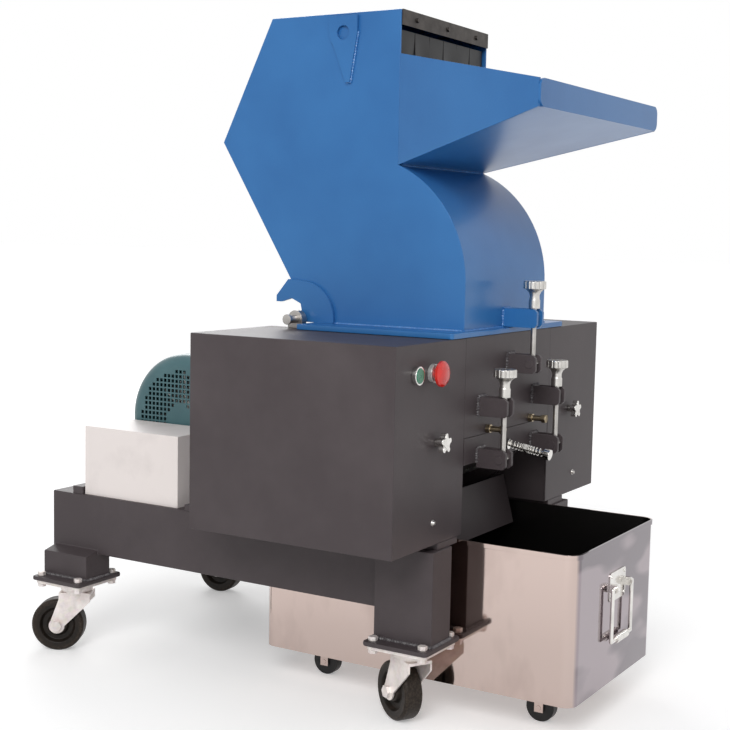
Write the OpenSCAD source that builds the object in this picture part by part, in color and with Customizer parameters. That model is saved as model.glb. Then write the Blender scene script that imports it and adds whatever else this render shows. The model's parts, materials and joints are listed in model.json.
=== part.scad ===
/* [Overall] */
// Width over both side covers
body_w = 800; // [760:10:860]
// Depth of the side covers
cover_d = 389; // [380:1:410]
// Height of the side covers
cover_h = 326; // [322:1:340]
// Width of the opening between the side covers
gap_w = 340; // [334:1:346]
// How far the covers' front face stands ahead of the origin
front_set = 318.9; // [280:0.1:340]
// Sheet thickness of the covers
sheet_t = 3; // [2:0.5:4]

/* [Frame] */
// Distance from the middle to the outer face of a side beam
beam_out = 252; // [248:1:256]
// Width of a side beam
beam_w = 60; // [54:1:62]
// Height of a side beam
beam_h = 111; // [100:1:120]
// Rear end of the side beams behind the covers' front face
beam_rear = 840; // [825:1:870]
// Width of a leg
leg_w = 65; // [56:1:70]
// Depth of a leg
leg_d = 108; // [96:1:112]
// How far a leg reaches below its beam
leg_drop = 45; // [38:1:60]
// Distance of the front legs from the middle
front_leg_x = 241; // [238:1:246]
// Distance of the rear legs from the middle
rear_leg_x = 251; // [246:1:254]
// How far the front legs' middle is behind the covers' front face
front_leg_y = 50; // [46:1:60]
// How far the rear legs' middle is behind the covers' front face
rear_leg_y = 780; // [770:1:784]
// Side of a square foot plate
foot_w = 120; // [114:1:124]
// Thickness of a foot plate
foot_t = 8; // [6:1:10]
// Thickness of the bed plate under the chamber
bed_t = 11; // [8:1:14]
// Width of a cross beam
cross_w = 60; // [50:1:70]

/* [Casters] */
// Height of a caster up to its top plate
caster_h = 133; // [131:1:145]
// Side of a caster's top plate
caster_w = 110; // [100:1:112]
// Thickness of a caster's top plate
caster_t = 6; // [5:1:8]
// Wheel diameter
wheel_d = 100; // [96:1:102]
// Wheel width
wheel_w = 34; // [30:1:36]
// How far the wheel trails behind its swivel
trail = 34; // [30:1:38]
// Swivel angle of the front left caster
turn_fl = 60; // [0:5:360]
// Swivel angle of the front right caster
turn_fr = 75; // [0:5:360]
// Swivel angle of the rear left caster
turn_rl = 120; // [0:5:360]
// Swivel angle of the rear right caster
turn_rr = 95; // [0:5:360]

/* [Chamber] */
// Thickness of the chamber's side walls
side_t = 20; // [16:1:24]
// Thickness of the chamber's front and rear walls
wall_t = 20; // [16:1:22]
// Depth from the covers' front face to the back of the rear wall
chamber_d = 350; // [346:1:360]
// Height of the seam between chamber and cradle above the bed
seam_h = 160; // [156:1:166]
// Rotor axis behind the covers' front face
rotor_y = 190; // [188:1:192]
// Rotor axis above the bed
rotor_h = 166; // [164:1:168]
// Cutting diameter of the rotor
cut_d = 240; // [230:1:240]
// Gap between the rotor's blades and the fixed blades
cut_gap = 0.5; // [0.4:0.1:1]
// Rotor shaft diameter
shaft_d = 60; // [50:1:64]
// Rotor core diameter
core_d = 130; // [110:1:140]
// Thickness of a rotor arm disc
arm_t = 26; // [20:1:30]
// Thickness of a blade
blade_t = 12; // [10:1:14]
// Flywheel diameter
fly_d = 296; // [280:1:300]
// Flywheel width
fly_w = 55; // [45:1:60]

/* [Hopper] */
// Height of the hopper over the covers
hop_h = 538; // [520:1:560]
// Width of the hopper
hop_w = 320; // [314:1:322]
// Depth of the hopper's front edge behind the covers' front face
mouth_y = 142; // [138:1:150]
// Depth of the top's rear edge
top_y = 403; // [395:1:410]
// Depth of the rear corner
back_y = 508; // [495:1:520]
// Height of the rear corner over the covers
back_h = 325; // [310:1:340]
// Depth of the lower rear corner
heel_y = 357; // [354:1:362]
// Height of the lower rear corner over the covers
heel_h = 84; // [78:1:90]
// Depth of the rear wall's lower edge
foot_y = 304; // [300:1:306]
// Radius of the belly's curve
belly_r = 212; // [208:1:216]
// How far the belly lies behind the covers' front face
belly_y = 10; // [8:1:12]
// Height of the belly curve's middle over the covers
belly_h = 86; // [80:1:92]
// Hopper sheet thickness
hop_t = 4; // [3:0.5:5]
// Width of the base flange
flange_w = 446; // [430:1:450]
// Depth of the base flange's rear edge
flange_y = 302; // [298:1:304]
// Thickness of the base flange
flange_t = 9.6; // [8:0.1:10]

/* [Feed tray] */
// How far the tray's lip stands ahead of the covers' front face
lip_y = 153; // [140:1:165]
// Width of the lip
lip_w = 514; // [490:1:530]
// Height of the lip plate
lip_h = 43; // [36:1:50]
// Height of the lip's lower edge over the covers
lip_low = 361; // [350:1:370]
// Height of the tray wall at the hopper
tray_h = 183; // [170:1:190]
// Corner radius of the lip
lip_r = 14; // [10:1:18]

/* [Clamps] */
// Distance of the lower clamps from the middle
clamp_x = 108; // [100:1:116]
// How far the clamp bolts stand ahead of the covers' front face
bolt_y = 42; // [41:1:44]
// Bolt diameter
bolt_d = 9.2; // [8:0.1:10]
// Pin diameter
pin_d = 10; // [9:0.5:11]
// Thickness of a lug
lug_t = 7.5; // [6:0.5:9]
// Slot between two lugs
slot_w = 15; // [14:0.5:17]
// Height of a lug
lug_h = 32; // [28:1:34]
// How far a lug stands ahead of the covers' front face
lug_y = 54; // [52:1:55]
// Knob head diameter
knob_d = 39; // [36:1:42]
// Knob height
knob_h = 47; // [44:1:50]
// Gap between a knob and its lugs, which the swing needs
knob_gap = 1.2; // [1.2:0.1:1.6]

/* [Cradle] */
// Height of the cradle's front plate
cradle_h = 45; // [42:1:48]
// Gap between the rotor's blades and the screen
screen_gap = 6; // [5:0.5:8]
// Screen thickness
screen_t = 3; // [2:0.5:4]
// Diameter of the screen's holes
hole_d = 10; // [6:1:10]
// Cradle hinge behind the covers' front face
hinge_y = 345; // [343:1:347]
// Cradle hinge above the bed
hinge_h = 134; // [132:1:136]
// Cradle hinge pin diameter
hinge_d = 16; // [14:1:16]
// Length of the sprung handle rod
rod_l = 82; // [76:1:90]
// Spring wire diameter
wire_d = 1.6; // [1.2:0.1:1.8]
// Number of spring curls
curls = 15; // [10:1:18]

/* [Motor] */
// Motor axis behind the covers' front face
motor_y = 638; // [634:1:640]
// Shaft height of the motor over its plate
motor_h = 132; // [131:1:136]
// Diameter of the fan cowl
cowl_d = 254; // [250:1:256]
// Length of the fan cowl
cowl_l = 98; // [90:1:110]
// Distance of the cowl's face from the middle
cowl_x = 118; // [114:1:119]
// Length of the motor's finned body
motor_l = 215; // [200:1:220]
// Thickness of the motor plate
motor_t = 6; // [5:1:8]
// Pitch of the grille's holes
grille_pitch = 9.4; // [9:0.2:12]
// Side of a square grille hole
grille_hole = 6.4; // [5:0.2:7]
// Pulley diameter on the motor
small_d = 112; // [100:1:120]
// Pulley diameter on the rotor
large_d = 280; // [270:1:284]
// Belt pitch across the pulleys
belt_pitch = 19; // [18:1:20]

/* [Control box] */
// Width of the control box
box_w = 121; // [110:1:122]
// Depth of the control box
box_d = 224; // [210:1:230]
// Height of the control box
box_h = 131; // [120:1:140]
// Depth of the box's front face behind the covers' front face
box_y = 540; // [530:1:550]
// How far the green button is in from the left side
green_in = 63; // [55:1:70]
// How far the red button is in from the left side
red_in = 113; // [110:1:120]
// Height of the buttons over the bed
button_h = 278; // [270:1:285]
// Bezel diameter
bezel_d = 29.4; // [28:0.2:31]
// Mushroom head diameter
head_d = 40.6; // [38:0.2:42]

/* [Bin] */
// Bin width
bin_w = 360; // [352:1:362]
// Bin length
bin_l = 600; // [580:1:610]
// How far the bin stands ahead of the covers' front face
bin_y = 210; // [195:1:225]
// Height of the bin's floor over the ground
bin_z = 60; // [58:1:66]
// Height of the bin's rim over the ground
rim_z = 308; // [300:1:309]
// Height of the lowered rear wall over the ground
low_z = 252; // [240:1:254]
// Bin sheet thickness
bin_t = 2; // [1.5:0.5:2.5]
// Corner radius of the bin
bin_r = 22; // [16:1:30]
// Diameter of the bin's wheels
small_wheel = 50; // [46:1:52]

/* [Hidden] */
$fn = 48;
over = 5;
touch = 0.3;
fit = 0.05;
edge_r = 6;
front_y = -front_set;
half_w = body_w / 2;
half_gap = gap_w / 2;
foot_z = caster_h + caster_t;
leg_z = foot_z + foot_t;
beam_z = leg_z + leg_drop;
beam_top = beam_z + beam_h;
bed_z = beam_top + bed_t;
top_z = bed_z + cover_h;
seam_z = bed_z + seam_h;
rotor_z = bed_z + rotor_h;
clear_x = half_gap - 2 * touch;
side_out = half_gap + side_t;
green_x = half_w - green_in;
red_x = half_w - red_in;

// Hopper hinge
pivot_y = 327;
pivot_rise = 16;
pivot_z = top_z + pivot_rise;
pivot_d = 14;
pivot_end = 209;
hop_gap = 0.4;
hop_low = top_z + hop_gap;
hop_base = hop_low + flange_t;
hop_top = top_z + hop_h;
belly_z = top_z + belly_h;
belly_c = belly_y + belly_r;
mouth_z = belly_z + sqrt(belly_r * belly_r - (belly_c - mouth_y) * (belly_c - mouth_y));
lip_z = top_z + lip_low;
disc_r = 66;
disc_t = 7;
boss_r = 14;

// Clamp heights, from the pin to the lug tops
top_pin_drop = 52;
top_lug_rise = 11;
low_pin_h = 122;
low_lug_h = 193;
top_pin_z = top_z - top_pin_drop;
top_lug_z = top_z + top_lug_rise;
low_pin_z = bed_z + low_pin_h;
low_lug_z = bed_z + low_lug_h;
cradle_z = seam_z - 2 * touch - cradle_h;
hinge_z = bed_z + hinge_h;
rod_rise = 17;
rod_z = cradle_z + rod_rise;
rod_tilt = 9;
motor_z = beam_top + motor_t + motor_h;
belt_x = 277;
wheel_r = wheel_d / 2;

// Shared helpers
module placed() {
  translate([0, front_y, 0]) children();
}

module block(x, y, z) {
  translate([x[0], y[0], z[0]]) cube([x[1] - x[0], y[1] - y[0], z[1] - z[0]]);
}

module rod_x(x, y, z, r) {
  translate([x[0], y, z]) rotate([0, 90, 0]) cylinder(r = r, h = x[1] - x[0]);
}

module rod_y(x, y, z, r) {
  translate([x, y[0], z]) rotate([-90, 0, 0]) cylinder(r = r, h = y[1] - y[0]);
}

module rod_z(x, y, z, r) {
  translate([x, y, z[0]]) cylinder(r = r, h = z[1] - z[0]);
}

// Draws a depth and height outline across the width
module across(x) {
  translate([x[0], 0, 0]) rotate([90, 0, 90]) linear_extrude(height = x[1] - x[0]) children();
}

// Draws a width and height outline along the depth
module along(y) {
  translate([0, y[1], 0]) rotate([90, 0, 0]) linear_extrude(height = y[1] - y[0]) children();
}

module both() {
  children();
  mirror([1, 0, 0]) children();
}

module round_square(w, h, r) {
  translate([r, 0]) square([w - 2 * r, h]);
  translate([0, r]) square([w, h - 2 * r]);
  for (x = [r, w - r], y = [r, h - r]) translate([x, y]) circle(r = r);
}

module hex_bolt(r, h) {
  cylinder(r = r, h = h, $fn = 6);
}

side_tube_t = 5;
side_ledge = 8;

// Frame
module frame_side(foot_bolt = 5, corner = 8) {
  inner = beam_out - beam_w;
  difference() {
    block([inner, beam_out], [front_leg_y, beam_rear], [beam_z, beam_top]);
    block([inner + side_tube_t, beam_out - side_tube_t], [front_leg_y - over, beam_rear - side_tube_t],
      [beam_z + side_tube_t, beam_top - side_tube_t]);
  }
  translate([front_leg_x - leg_w / 2, front_leg_y - leg_d / 2, leg_z])
    cube([leg_w, leg_d, beam_top - leg_z]);
  rear_x = [rear_leg_x - leg_w / 2, rear_leg_x + leg_w / 2];
  along([rear_leg_y - leg_d / 2, rear_leg_y + leg_d / 2])
    polygon([[rear_x[0], leg_z], [rear_x[1], leg_z], [rear_x[1], beam_z], [beam_out, beam_z + side_ledge],
      [rear_x[0], beam_z + side_ledge]]);
  for (p = [[front_leg_x, front_leg_y], [rear_leg_x, rear_leg_y]])
    difference() {
      translate([p[0] - foot_w / 2, p[1] - foot_w / 2, foot_z]) linear_extrude(height = foot_t)
        round_square(foot_w, foot_w, corner);
      for (a = [-1, 1], b = [-1, 1])
        rod_z(p[0] + a * bolt_reach, p[1] + b * bolt_reach, [foot_z - over, leg_z + over], foot_bolt);
    }
}

bolt_reach = 46;

module frame_left() {
  color("dimgray") placed() mirror([1, 0, 0]) frame_side();
}

module frame_right() {
  color("dimgray") placed() frame_side();
}

cross_bin_room = 55;

module cross_beams() {
  inner = beam_out - beam_w;
  middle_y = bin_l - bin_y + cross_bin_room;
  color("gray") placed() {
    for (y = [middle_y, beam_rear - cross_w])
      block([-inner, inner], [y, y + cross_w], [beam_z, beam_top]);
  }
}

bed_reach = 518;
bed_notch = 14.5;

module bed_plate() {
  color("gray") placed() difference() {
    block([-beam_out, beam_out], [0, bed_reach], [beam_top, bed_z]);
    block([-half_gap - bed_notch, half_gap + bed_notch], [-over, cover_d + bed_notch], [beam_top - over,
      bed_z + over]);
  }
}

chamber_shaft_room = 6;

// Chamber
module chamber_side() {
  notch_r = shaft_d / 2 + chamber_shaft_room;
  difference() {
    block([half_gap, side_out], [sheet_t, cover_d], [bed_z, top_z]);
    rod_x([half_gap - over, side_out + over], rotor_y, rotor_z, notch_r);
    rod_x([half_gap - over, side_out + over], hinge_y, hinge_z, hinge_d / 2);
  }
}

module chamber_left() {
  color("slategray") placed() mirror([1, 0, 0]) chamber_side();
}

module chamber_right() {
  color("slategray") placed() chamber_side();
}

front_lead_h = 30;
front_lead_y = 48;

module front_wall() {
  edge_z = seam_z + front_lead_h;
  color("dimgray") placed() difference() {
    across([-half_gap, half_gap])
      polygon([[0, seam_z], [wall_t, seam_z], [wall_t, edge_z], [front_lead_y + wall_t, edge_z],
        [front_lead_y, top_z], [0, top_z]]);
    for (x = [-adjust_x, adjust_x]) rod_y(x, [-over, wall_t + over], adjust_z, adjust_d / 2);
  }
}

adjust_x = 86;
adjust_rise = 8;
adjust_z = seam_z + adjust_rise;
adjust_d = 10;

rear_lead_h = 30;
rear_lead_y = 14;
rear_stop_h = 44;
rear_stop_d = 17;

module rear_wall() {
  inner = chamber_d - wall_t;
  edge_z = seam_z + rear_lead_h;
  color("slategray") placed() {
    across([-half_gap, half_gap])
      polygon([[inner, seam_z], [chamber_d, seam_z], [chamber_d, top_z], [inner, top_z],
        [inner - rear_lead_y, edge_z], [inner, edge_z]]);
    both() block([half_gap - side_t, half_gap - touch], [chamber_d, chamber_d + rear_stop_d],
      [top_z - rear_stop_h, top_z - rear_stop_h / 2]);
  }
}

stator_thick = 18;
stator_head = 8;
stator_bolt_out = 26;
stator_blade_gap = 1;
stator_blade_drop = 2;

// The blades' edges lie level with the rotor's axis
module fixed_blades() {
  edge_y = cut_d / 2 + cut_gap;
  blade_x = clear_x - stator_blade_gap;
  low = rotor_z + stator_blade_drop;
  color("silver") placed() {
    block([-blade_x, blade_x], [wall_t, rotor_y - edge_y], [low, low + stator_thick]);
    block([-blade_x, blade_x], [rotor_y + edge_y, chamber_d - wall_t], [low, low + stator_thick]);
    for (x = [-adjust_x, adjust_x]) {
      rod_y(x, [-stator_bolt_out, wall_t], adjust_z, adjust_d / 2);
      translate([x, 0, adjust_z]) rotate([90, 0, 0]) hex_bolt(stator_head, stator_head);
      translate([x, -stator_bolt_out, adjust_z]) rotate([90, 0, 0]) hex_bolt(stator_head, stator_head);
    }
  }
}

bearing_plate = 112;
bearing_plate_t = 16;
bearing_boss = 44;
bearing_boss_l = 40;
bearing_bolt_r = 7;
bearing_bolt_at = 44;

module bearing() {
  difference() {
    union() {
      translate([side_out, rotor_y - bearing_plate / 2, rotor_z - bearing_plate / 2]) rotate([90, 0, 90])
        linear_extrude(height = bearing_plate_t) round_square(bearing_plate, bearing_plate, bearing_bolt_r);
      rod_x([side_out, side_out + bearing_boss_l], rotor_y, rotor_z, bearing_boss);
      for (a = [-1, 1], b = [-1, 1])
        rod_x([side_out, side_out + bearing_plate_t + bearing_bolt_r], rotor_y + a * bearing_bolt_at,
          rotor_z + b * bearing_bolt_at, bearing_bolt_r);
    }
    rod_x([side_out - over, side_out + bearing_boss_l + over], rotor_y, rotor_z, shaft_d / 2 + fit);
  }
}

module bearings() {
  color("green") placed() both() bearing();
}

// Covers
module cover_shell(depth) {
  difference() {
    block([half_gap, half_w], [0, depth], [bed_z, top_z]);
    block([half_gap - over, half_w - sheet_t], [sheet_t, depth - sheet_t],
      [bed_z + sheet_t, top_z - sheet_t]);
    block([half_gap - over, side_out + touch], [sheet_t, depth + over], [bed_z - over, top_z + over]);
  }
}

star_x = 267;
star_h = 166;
star_stud = 8;

module left_cover() {
  color("dimgray") placed() difference() {
    mirror([1, 0, 0]) cover_shell(cover_d);
    rod_y(-star_x, [-over, sheet_t + over], bed_z + star_h, star_stud / 2 + fit);
    rod_y(-green_x, [-over, sheet_t + over], bed_z + button_h, collar_d / 2 + fit);
    rod_y(-red_x, [-over, sheet_t + over], bed_z + button_h, collar_d / 2 + fit);
  }
}

collar_d = 22;

// A straight-sided outline round both pulleys, behind the right cover
module guard_outline(from_y, r1, r2) {
  dy = motor_y - rotor_y;
  dz = motor_z - rotor_z;
  tilt = atan2(dz, dy);
  lean = asin((r1 - r2) / sqrt(dy * dy + dz * dz));
  up = tilt - lean;
  down = tilt + lean;
  polygon([[from_y, rotor_z + r1 / cos(up) + (from_y - rotor_y) * tan(up)],
    [motor_y, motor_z + r2 / cos(up)], [motor_y + r2, motor_z + r2 / 2], [motor_y + r2, motor_z - r2 / 2],
    [motor_y, motor_z - r2 / cos(down)],
      [from_y, rotor_z - r1 / cos(down) + (from_y - rotor_y) * tan(down)]]);
}

guard_side = 45;
guard_deep = 50;
guard_belt_room = 10;
guard_shaft_hole = 34;

// The belt guard runs on behind the right cover
module right_cover() {
  guard_in = belt_x - guard_side;
  guard_out = belt_x + guard_deep;
  room = guard_belt_room + sheet_t;
  color("dimgray") placed() difference() {
    union() {
      cover_shell(cover_d);
      across([guard_in, guard_out]) guard_outline(cover_d - sheet_t, large_d / 2 + room,
        small_d / 2 + room);
    }
    across([guard_in + sheet_t, guard_out - sheet_t])
      guard_outline(cover_d - sheet_t - over, large_d / 2 + guard_belt_room, small_d / 2 + guard_belt_room);
    rod_x([guard_in - over, guard_in + sheet_t + over], motor_y, motor_z, guard_shaft_hole);
    rod_y(star_x, [-over, sheet_t + over], bed_z + star_h, star_stud / 2 + fit);
  }
}

star_grip = 11;
star_lobe = 5.5;
star_grip_t = 10;
star_hub = 7;
star_hub_l = 10;
star_points = 5;

module star_knob(x) {
  z = bed_z + star_h;
  rod_y(x, [-star_hub_l, -touch], z, star_hub);
  rod_y(x, [-star_hub_l, sheet_t + star_grip], z, star_stud / 2);
  translate([x, -star_hub_l, z]) rotate([90, 0, 0]) linear_extrude(height = star_grip_t) difference() {
    union() {
      circle(r = star_grip);
      for (i = [0:star_points - 1]) rotate(360 / star_points * i) translate([0,
        star_grip]) circle(r = star_lobe);
    }
    for (i = [0:star_points - 1]) rotate(360 / star_points * (i + 0.5)) translate([0,
      star_grip + star_lobe]) circle(r = star_lobe);
  }
}

module star_knob_left() {
  color("silver") placed() star_knob(-star_x);
}

module star_knob_right() {
  color("silver") placed() star_knob(star_x);
}

hinge_bracket_step = 4;
hinge_bracket_t = 14;
hinge_bracket_d = 30;
hinge_head = 9;

// The hopper's hinge rod with its brackets, and the cradle's hinge pin
module hinge_pins() {
  bracket_in = half_gap + hinge_bracket_step;
  color("silver") placed() {
    rod_x([-pivot_end, pivot_end], pivot_y, pivot_z, pivot_d / 2);
    rod_x([-side_out, side_out], hinge_y, hinge_z, hinge_d / 2);
    both() {
      across([bracket_in, bracket_in + hinge_bracket_t]) {
        translate([pivot_y - hinge_bracket_d / 2, top_z]) square([hinge_bracket_d, pivot_z - top_z]);
        translate([pivot_y, pivot_z]) circle(r = hinge_bracket_d / 2);
      }
      rod_x([pivot_end, pivot_end + hinge_head / 2], pivot_y, pivot_z, hinge_head);
    }
  }
}

lug_strap = 6;
lug_nose = 5;
lug_head = 7;
lug_head_t = 2;

// A pair of lugs, whose pin stays with them
module lug_pair(x, z, back_y, pin) {
  inner = slot_w / 2;
  for (s = [-1, 1])
    translate([x + s * (inner + lug_t / 2), 0, 0]) across([-lug_t / 2, lug_t / 2])
      polygon([[back_y, z], [-lug_y + lug_nose, z], [-lug_y, z + lug_nose], [-lug_y, z + lug_h - lug_nose],
        [-lug_y + lug_nose, z + lug_h], [back_y, z + lug_h]]);
  block([x - inner - lug_t, x + inner + lug_t], [back_y - lug_strap, back_y], [z, z + lug_h]);
  if (pin) {
    reach = inner + lug_t;
    rod_x([x - reach, x + reach], -bolt_y, z + lug_h / 2, pin_d / 2);
    rod_x([x - reach - lug_head_t, x - reach], -bolt_y, z + lug_h / 2, lug_head);
    rod_x([x + reach, x + reach + lug_head_t], -bolt_y, z + lug_h / 2, lug_head);
  }
}

module clamp_lugs() {
  color("dimgray") placed() {
    lug_pair(0, top_pin_z - lug_h / 2, 0, true);
    for (x = [-clamp_x, clamp_x]) lug_pair(x, low_lug_z, 0, false);
  }
}

clamp_eye_r = 9;
clamp_side_gap = 1;
clamp_loose = 0.1;
clamp_mouth = 1;
clamp_thread = 22;

// The eye is open below, so that it can leave its pin
module clamp_bolt(x, pin_z, top) {
  eye_w = slot_w - clamp_side_gap;
  difference() {
    union() {
      rod_x([x - eye_w / 2, x + eye_w / 2], -bolt_y, pin_z, clamp_eye_r);
      rod_z(x, -bolt_y, [pin_z, top + clamp_thread], bolt_d / 2);
    }
    rod_x([x - eye_w, x + eye_w], -bolt_y, pin_z, pin_d / 2 + clamp_loose);
    block([x - eye_w, x + eye_w], [-bolt_y - 2 * clamp_eye_r, -bolt_y + 2 * clamp_eye_r],
      [pin_z - 2 * clamp_eye_r, pin_z + clamp_mouth]);
  }
}

knob_flutes = 14;

module clamp_knob(x, z) {
  r = knob_d / 2;
  bore_share = 0.51;
  radii_share = [0.5, 0.5, 0.44, 0.43, 0.55, 0.82, 1, 1, 0.94];
  steps_share = [0, 0.3, 0.34, 0.48, 0.6, 0.7, 0.72, 0.97, 1];
  translate([x, -bolt_y, z]) difference() {
    rotate_extrude() polygon(concat([[0, 0]],
      [for (i = [0:8]) [r * radii_share[i], knob_h * steps_share[i]]], [[0, knob_h]]));
    translate([0, 0, -over]) cylinder(r = bolt_d / 2 + fit, h = bore_share * knob_h + over);
    for (i = [0:knob_flutes - 1]) rotate(360 / knob_flutes * i) translate([r + wire_d / 2, 0,
      knob_h * steps_share[5]])
      cylinder(r = wire_d, h = knob_h);
  }
}

top_knob_z = top_lug_z + lug_h + knob_gap;
low_knob_z = low_lug_z + lug_h + knob_gap;

module top_bolt() {
  color("silver") placed() clamp_bolt(0, top_pin_z, top_knob_z);
}

module left_bolt() {
  color("silver") placed() clamp_bolt(-clamp_x, low_pin_z, low_knob_z);
}

module right_bolt() {
  color("silver") placed() clamp_bolt(clamp_x, low_pin_z, low_knob_z);
}

module top_knob() {
  color("gainsboro") placed() clamp_knob(0, top_knob_z);
}

module left_knob() {
  color("gainsboro") placed() clamp_knob(-clamp_x, low_knob_z);
}

module right_knob() {
  color("gainsboro") placed() clamp_knob(clamp_x, low_knob_z);
}

// Hopper
module hopper_side(t, cut) {
  front = mouth_y - cut;
  polygon([[front, hop_top - t], [top_y - 0.6 * t, hop_top - t], [back_y - 1.1 * t, top_z + back_h],
    [heel_y - 0.9 * t, top_z + heel_h], [foot_y - 1.2 * t, hop_base - cut], [front, hop_base - cut]]);
  translate([belly_y + t, hop_base - cut]) square([mouth_y - belly_y, belly_z - hop_base + cut]);
  intersection() {
    translate([belly_c, belly_z]) circle(r = belly_r - t, $fn = 96);
    translate([belly_y, belly_z]) square([mouth_y - belly_y + over, belly_r]);
  }
}

module hopper_shell() {
  inner = hop_w / 2 - hop_t;
  color("royalblue") placed() difference() {
    union() {
      across([-hop_w / 2, hop_w / 2]) hopper_side(0, 0);
      translate([-flange_w / 2, -flange_lead, hop_low]) linear_extrude(height = flange_t)
        round_square(flange_w, flange_y + flange_lead, edge_r);
    }
    difference() {
      across([-inner, inner]) hopper_side(hop_t, 0);
      block([-half_w, half_w], [0, mouth_y + hop_t], [hop_base, mouth_z]);
    }
    intersection() {
      across([-inner, inner]) hopper_side(hop_t, 0);
      block([-half_w, half_w], [0, mouth_y + hop_t], [hop_base, mouth_z]);
    }
    block([-inner, inner], [belly_y + hop_t, foot_y - hop_t], [hop_low - over, hop_base + over]);
    block([-inner, inner], [mouth_y - over, mouth_y + over], [mouth_z + hop_t, hop_top - sill_h]);
  }
}

sill_h = 38;
flange_lead = 2;

module feed_tray() {
  half = hop_w / 2;
  spread = lip_w / 2 - half;
  run = mouth_y + lip_y;
  slant = atan(spread / run);
  length = sqrt(spread * spread + run * run);
  wall_low = mouth_z;
  wall_top = mouth_z + tray_h;
  color("royalblue") placed() {
    both() translate([half, mouth_y, 0]) rotate([0, 0, slant - 90]) along([-hop_t, 0])
      polygon([[0, wall_low], [length, lip_z], [length, lip_z + lip_h], [0, wall_top]]);
    intersection() {
      linear_extrude(height = hop_top) polygon([[-half, mouth_y], [half, mouth_y],
        [lip_w / 2, -lip_y], [-lip_w / 2, -lip_y]]);
      across([-lip_w, lip_w]) polygon([[mouth_y, mouth_z], [mouth_y, mouth_z + hop_t],
        [-lip_y, lip_z + hop_t], [-lip_y, lip_z]]);
    }
    translate([-lip_w / 2, 0, lip_z]) along([-lip_y - hop_t, -lip_y]) round_square(lip_w, lip_h, lip_r);
  }
}

strip_h = 26;
strip_t = 3;
strip_in = 2;
strip_screw_x = 110;
strip_screw_r = 4;

module curtain_strip() {
  half = hop_w / 2 - strip_in;
  z = hop_top - strip_h;
  color("silver") placed() {
    block([-half, half], [mouth_y - strip_t, mouth_y], [z, hop_top]);
    for (x = [-strip_screw_x, 0, strip_screw_x]) rod_y(x, [mouth_y - 2 * strip_t, mouth_y - strip_t],
      z + strip_h / 2, strip_screw_r);
  }
}

flap_lap = 6;
flap_top = hop_top - sill_h + flap_lap;

flap_t = 4;
flap_l = 190;
flaps = 6;
flap_cut = 1;
flap_rod = 3;
flap_side_gap = 3;

module curtain_flaps() {
  half = hop_w / 2 - hop_t - flap_side_gap;
  end = flap_side_gap - 2 * fit;
  step = 2 * half / flaps;
  y = mouth_y + over + touch;
  color("black") placed() {
    block([-half, half], [y, y + flap_t], [flap_top - 2 * over, flap_top]);
    rod_x([-half - end, half + end], y + flap_t / 2, flap_top, flap_rod);
    for (i = [0:flaps - 1])
      block([-half + i * step + flap_cut, -half + (i + 1) * step - flap_cut], [y, y + flap_t],
        [flap_top - flap_l, flap_top]);
  }
}

lugs_lift_y = 252;
lugs_lift_drop = 33;
lugs_lift_w = 56;
lugs_lift_l = 112;
lugs_lift_t = 6;
lugs_hole = 12;
lugs_hook_in = 1;

// Hooked hinge plates, lifting lugs and the clamp lugs on the belly
module hopper_lugs() {
  half = hop_w / 2;
  low = hop_base;
  lift_z = hop_top - lugs_lift_drop;
  hook_shares = [[0.37, 0.65], [0.37, 0.52], [0.2, 0.52], [0.35, 0.6], [0.06, 0.5], [0, 0.3]];
  lift_shares = [0.1, 0.25];
  color("royalblue") placed() {
    both() {
      across([half, half + disc_t]) difference() {
        union() {
          intersection() {
            translate([pivot_y, pivot_z]) circle(r = disc_r);
            translate([pivot_y - disc_r, low]) square([disc_r, disc_r * 2]);
          }
          polygon(concat([[pivot_y - lugs_hook_in, pivot_z + disc_r], [heel_y, top_z + heel_h]],
            [for (i = [0:2]) [heel_y + hook_shares[i][0] * disc_r, top_z + hook_shares[i][1] * heel_h]],
            [for (i = [3:5]) [pivot_y - lugs_hook_in + hook_shares[i][0] * disc_r,
              top_z + hook_shares[i][1] * heel_h]]));
          translate([pivot_y, pivot_z]) circle(r = boss_r);
        }
        translate([pivot_y, pivot_z]) circle(r = pivot_d / 2 + fit);
        translate([pivot_y - disc_r, 0]) square([2 * disc_r, low]);
      }
      across([half, half + lugs_lift_t]) difference() {
        union() {
          translate([lugs_lift_y, lift_z]) circle(r = lugs_lift_w / 2);
          polygon([[lugs_lift_y - lugs_lift_w / 2, lift_z + lugs_lift_w / 2],
            [lugs_lift_y + lugs_lift_w / 2, lift_z + lugs_lift_w / 2],
            [lugs_lift_y + lugs_lift_w / 2, lift_z], [lugs_lift_y - lift_shares[0] * lugs_lift_w,
              lift_z + lugs_lift_w / 2 - lugs_lift_l],
            [lugs_lift_y - lift_shares[1] * lugs_lift_w, lift_z + lugs_lift_w / 2 - lugs_lift_l],
              [lugs_lift_y - lugs_lift_w / 2, lift_z]]);
        }
        translate([lugs_lift_y, lift_z]) circle(r = lugs_hole);
      }
    }
    lug_pair(0, top_lug_z, belly_y, false);
  }
}

// Cradle
cradle_gap = 1.4;
cradle_half = clear_x - cradle_gap;
arc_in = cut_d / 2 + screen_gap;
arc_out = arc_in + screen_t;

cradle_plate_t = 12;
cradle_rib_t = 12;
cradle_rib_d = 22;
cradle_eye_r = 20;

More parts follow.
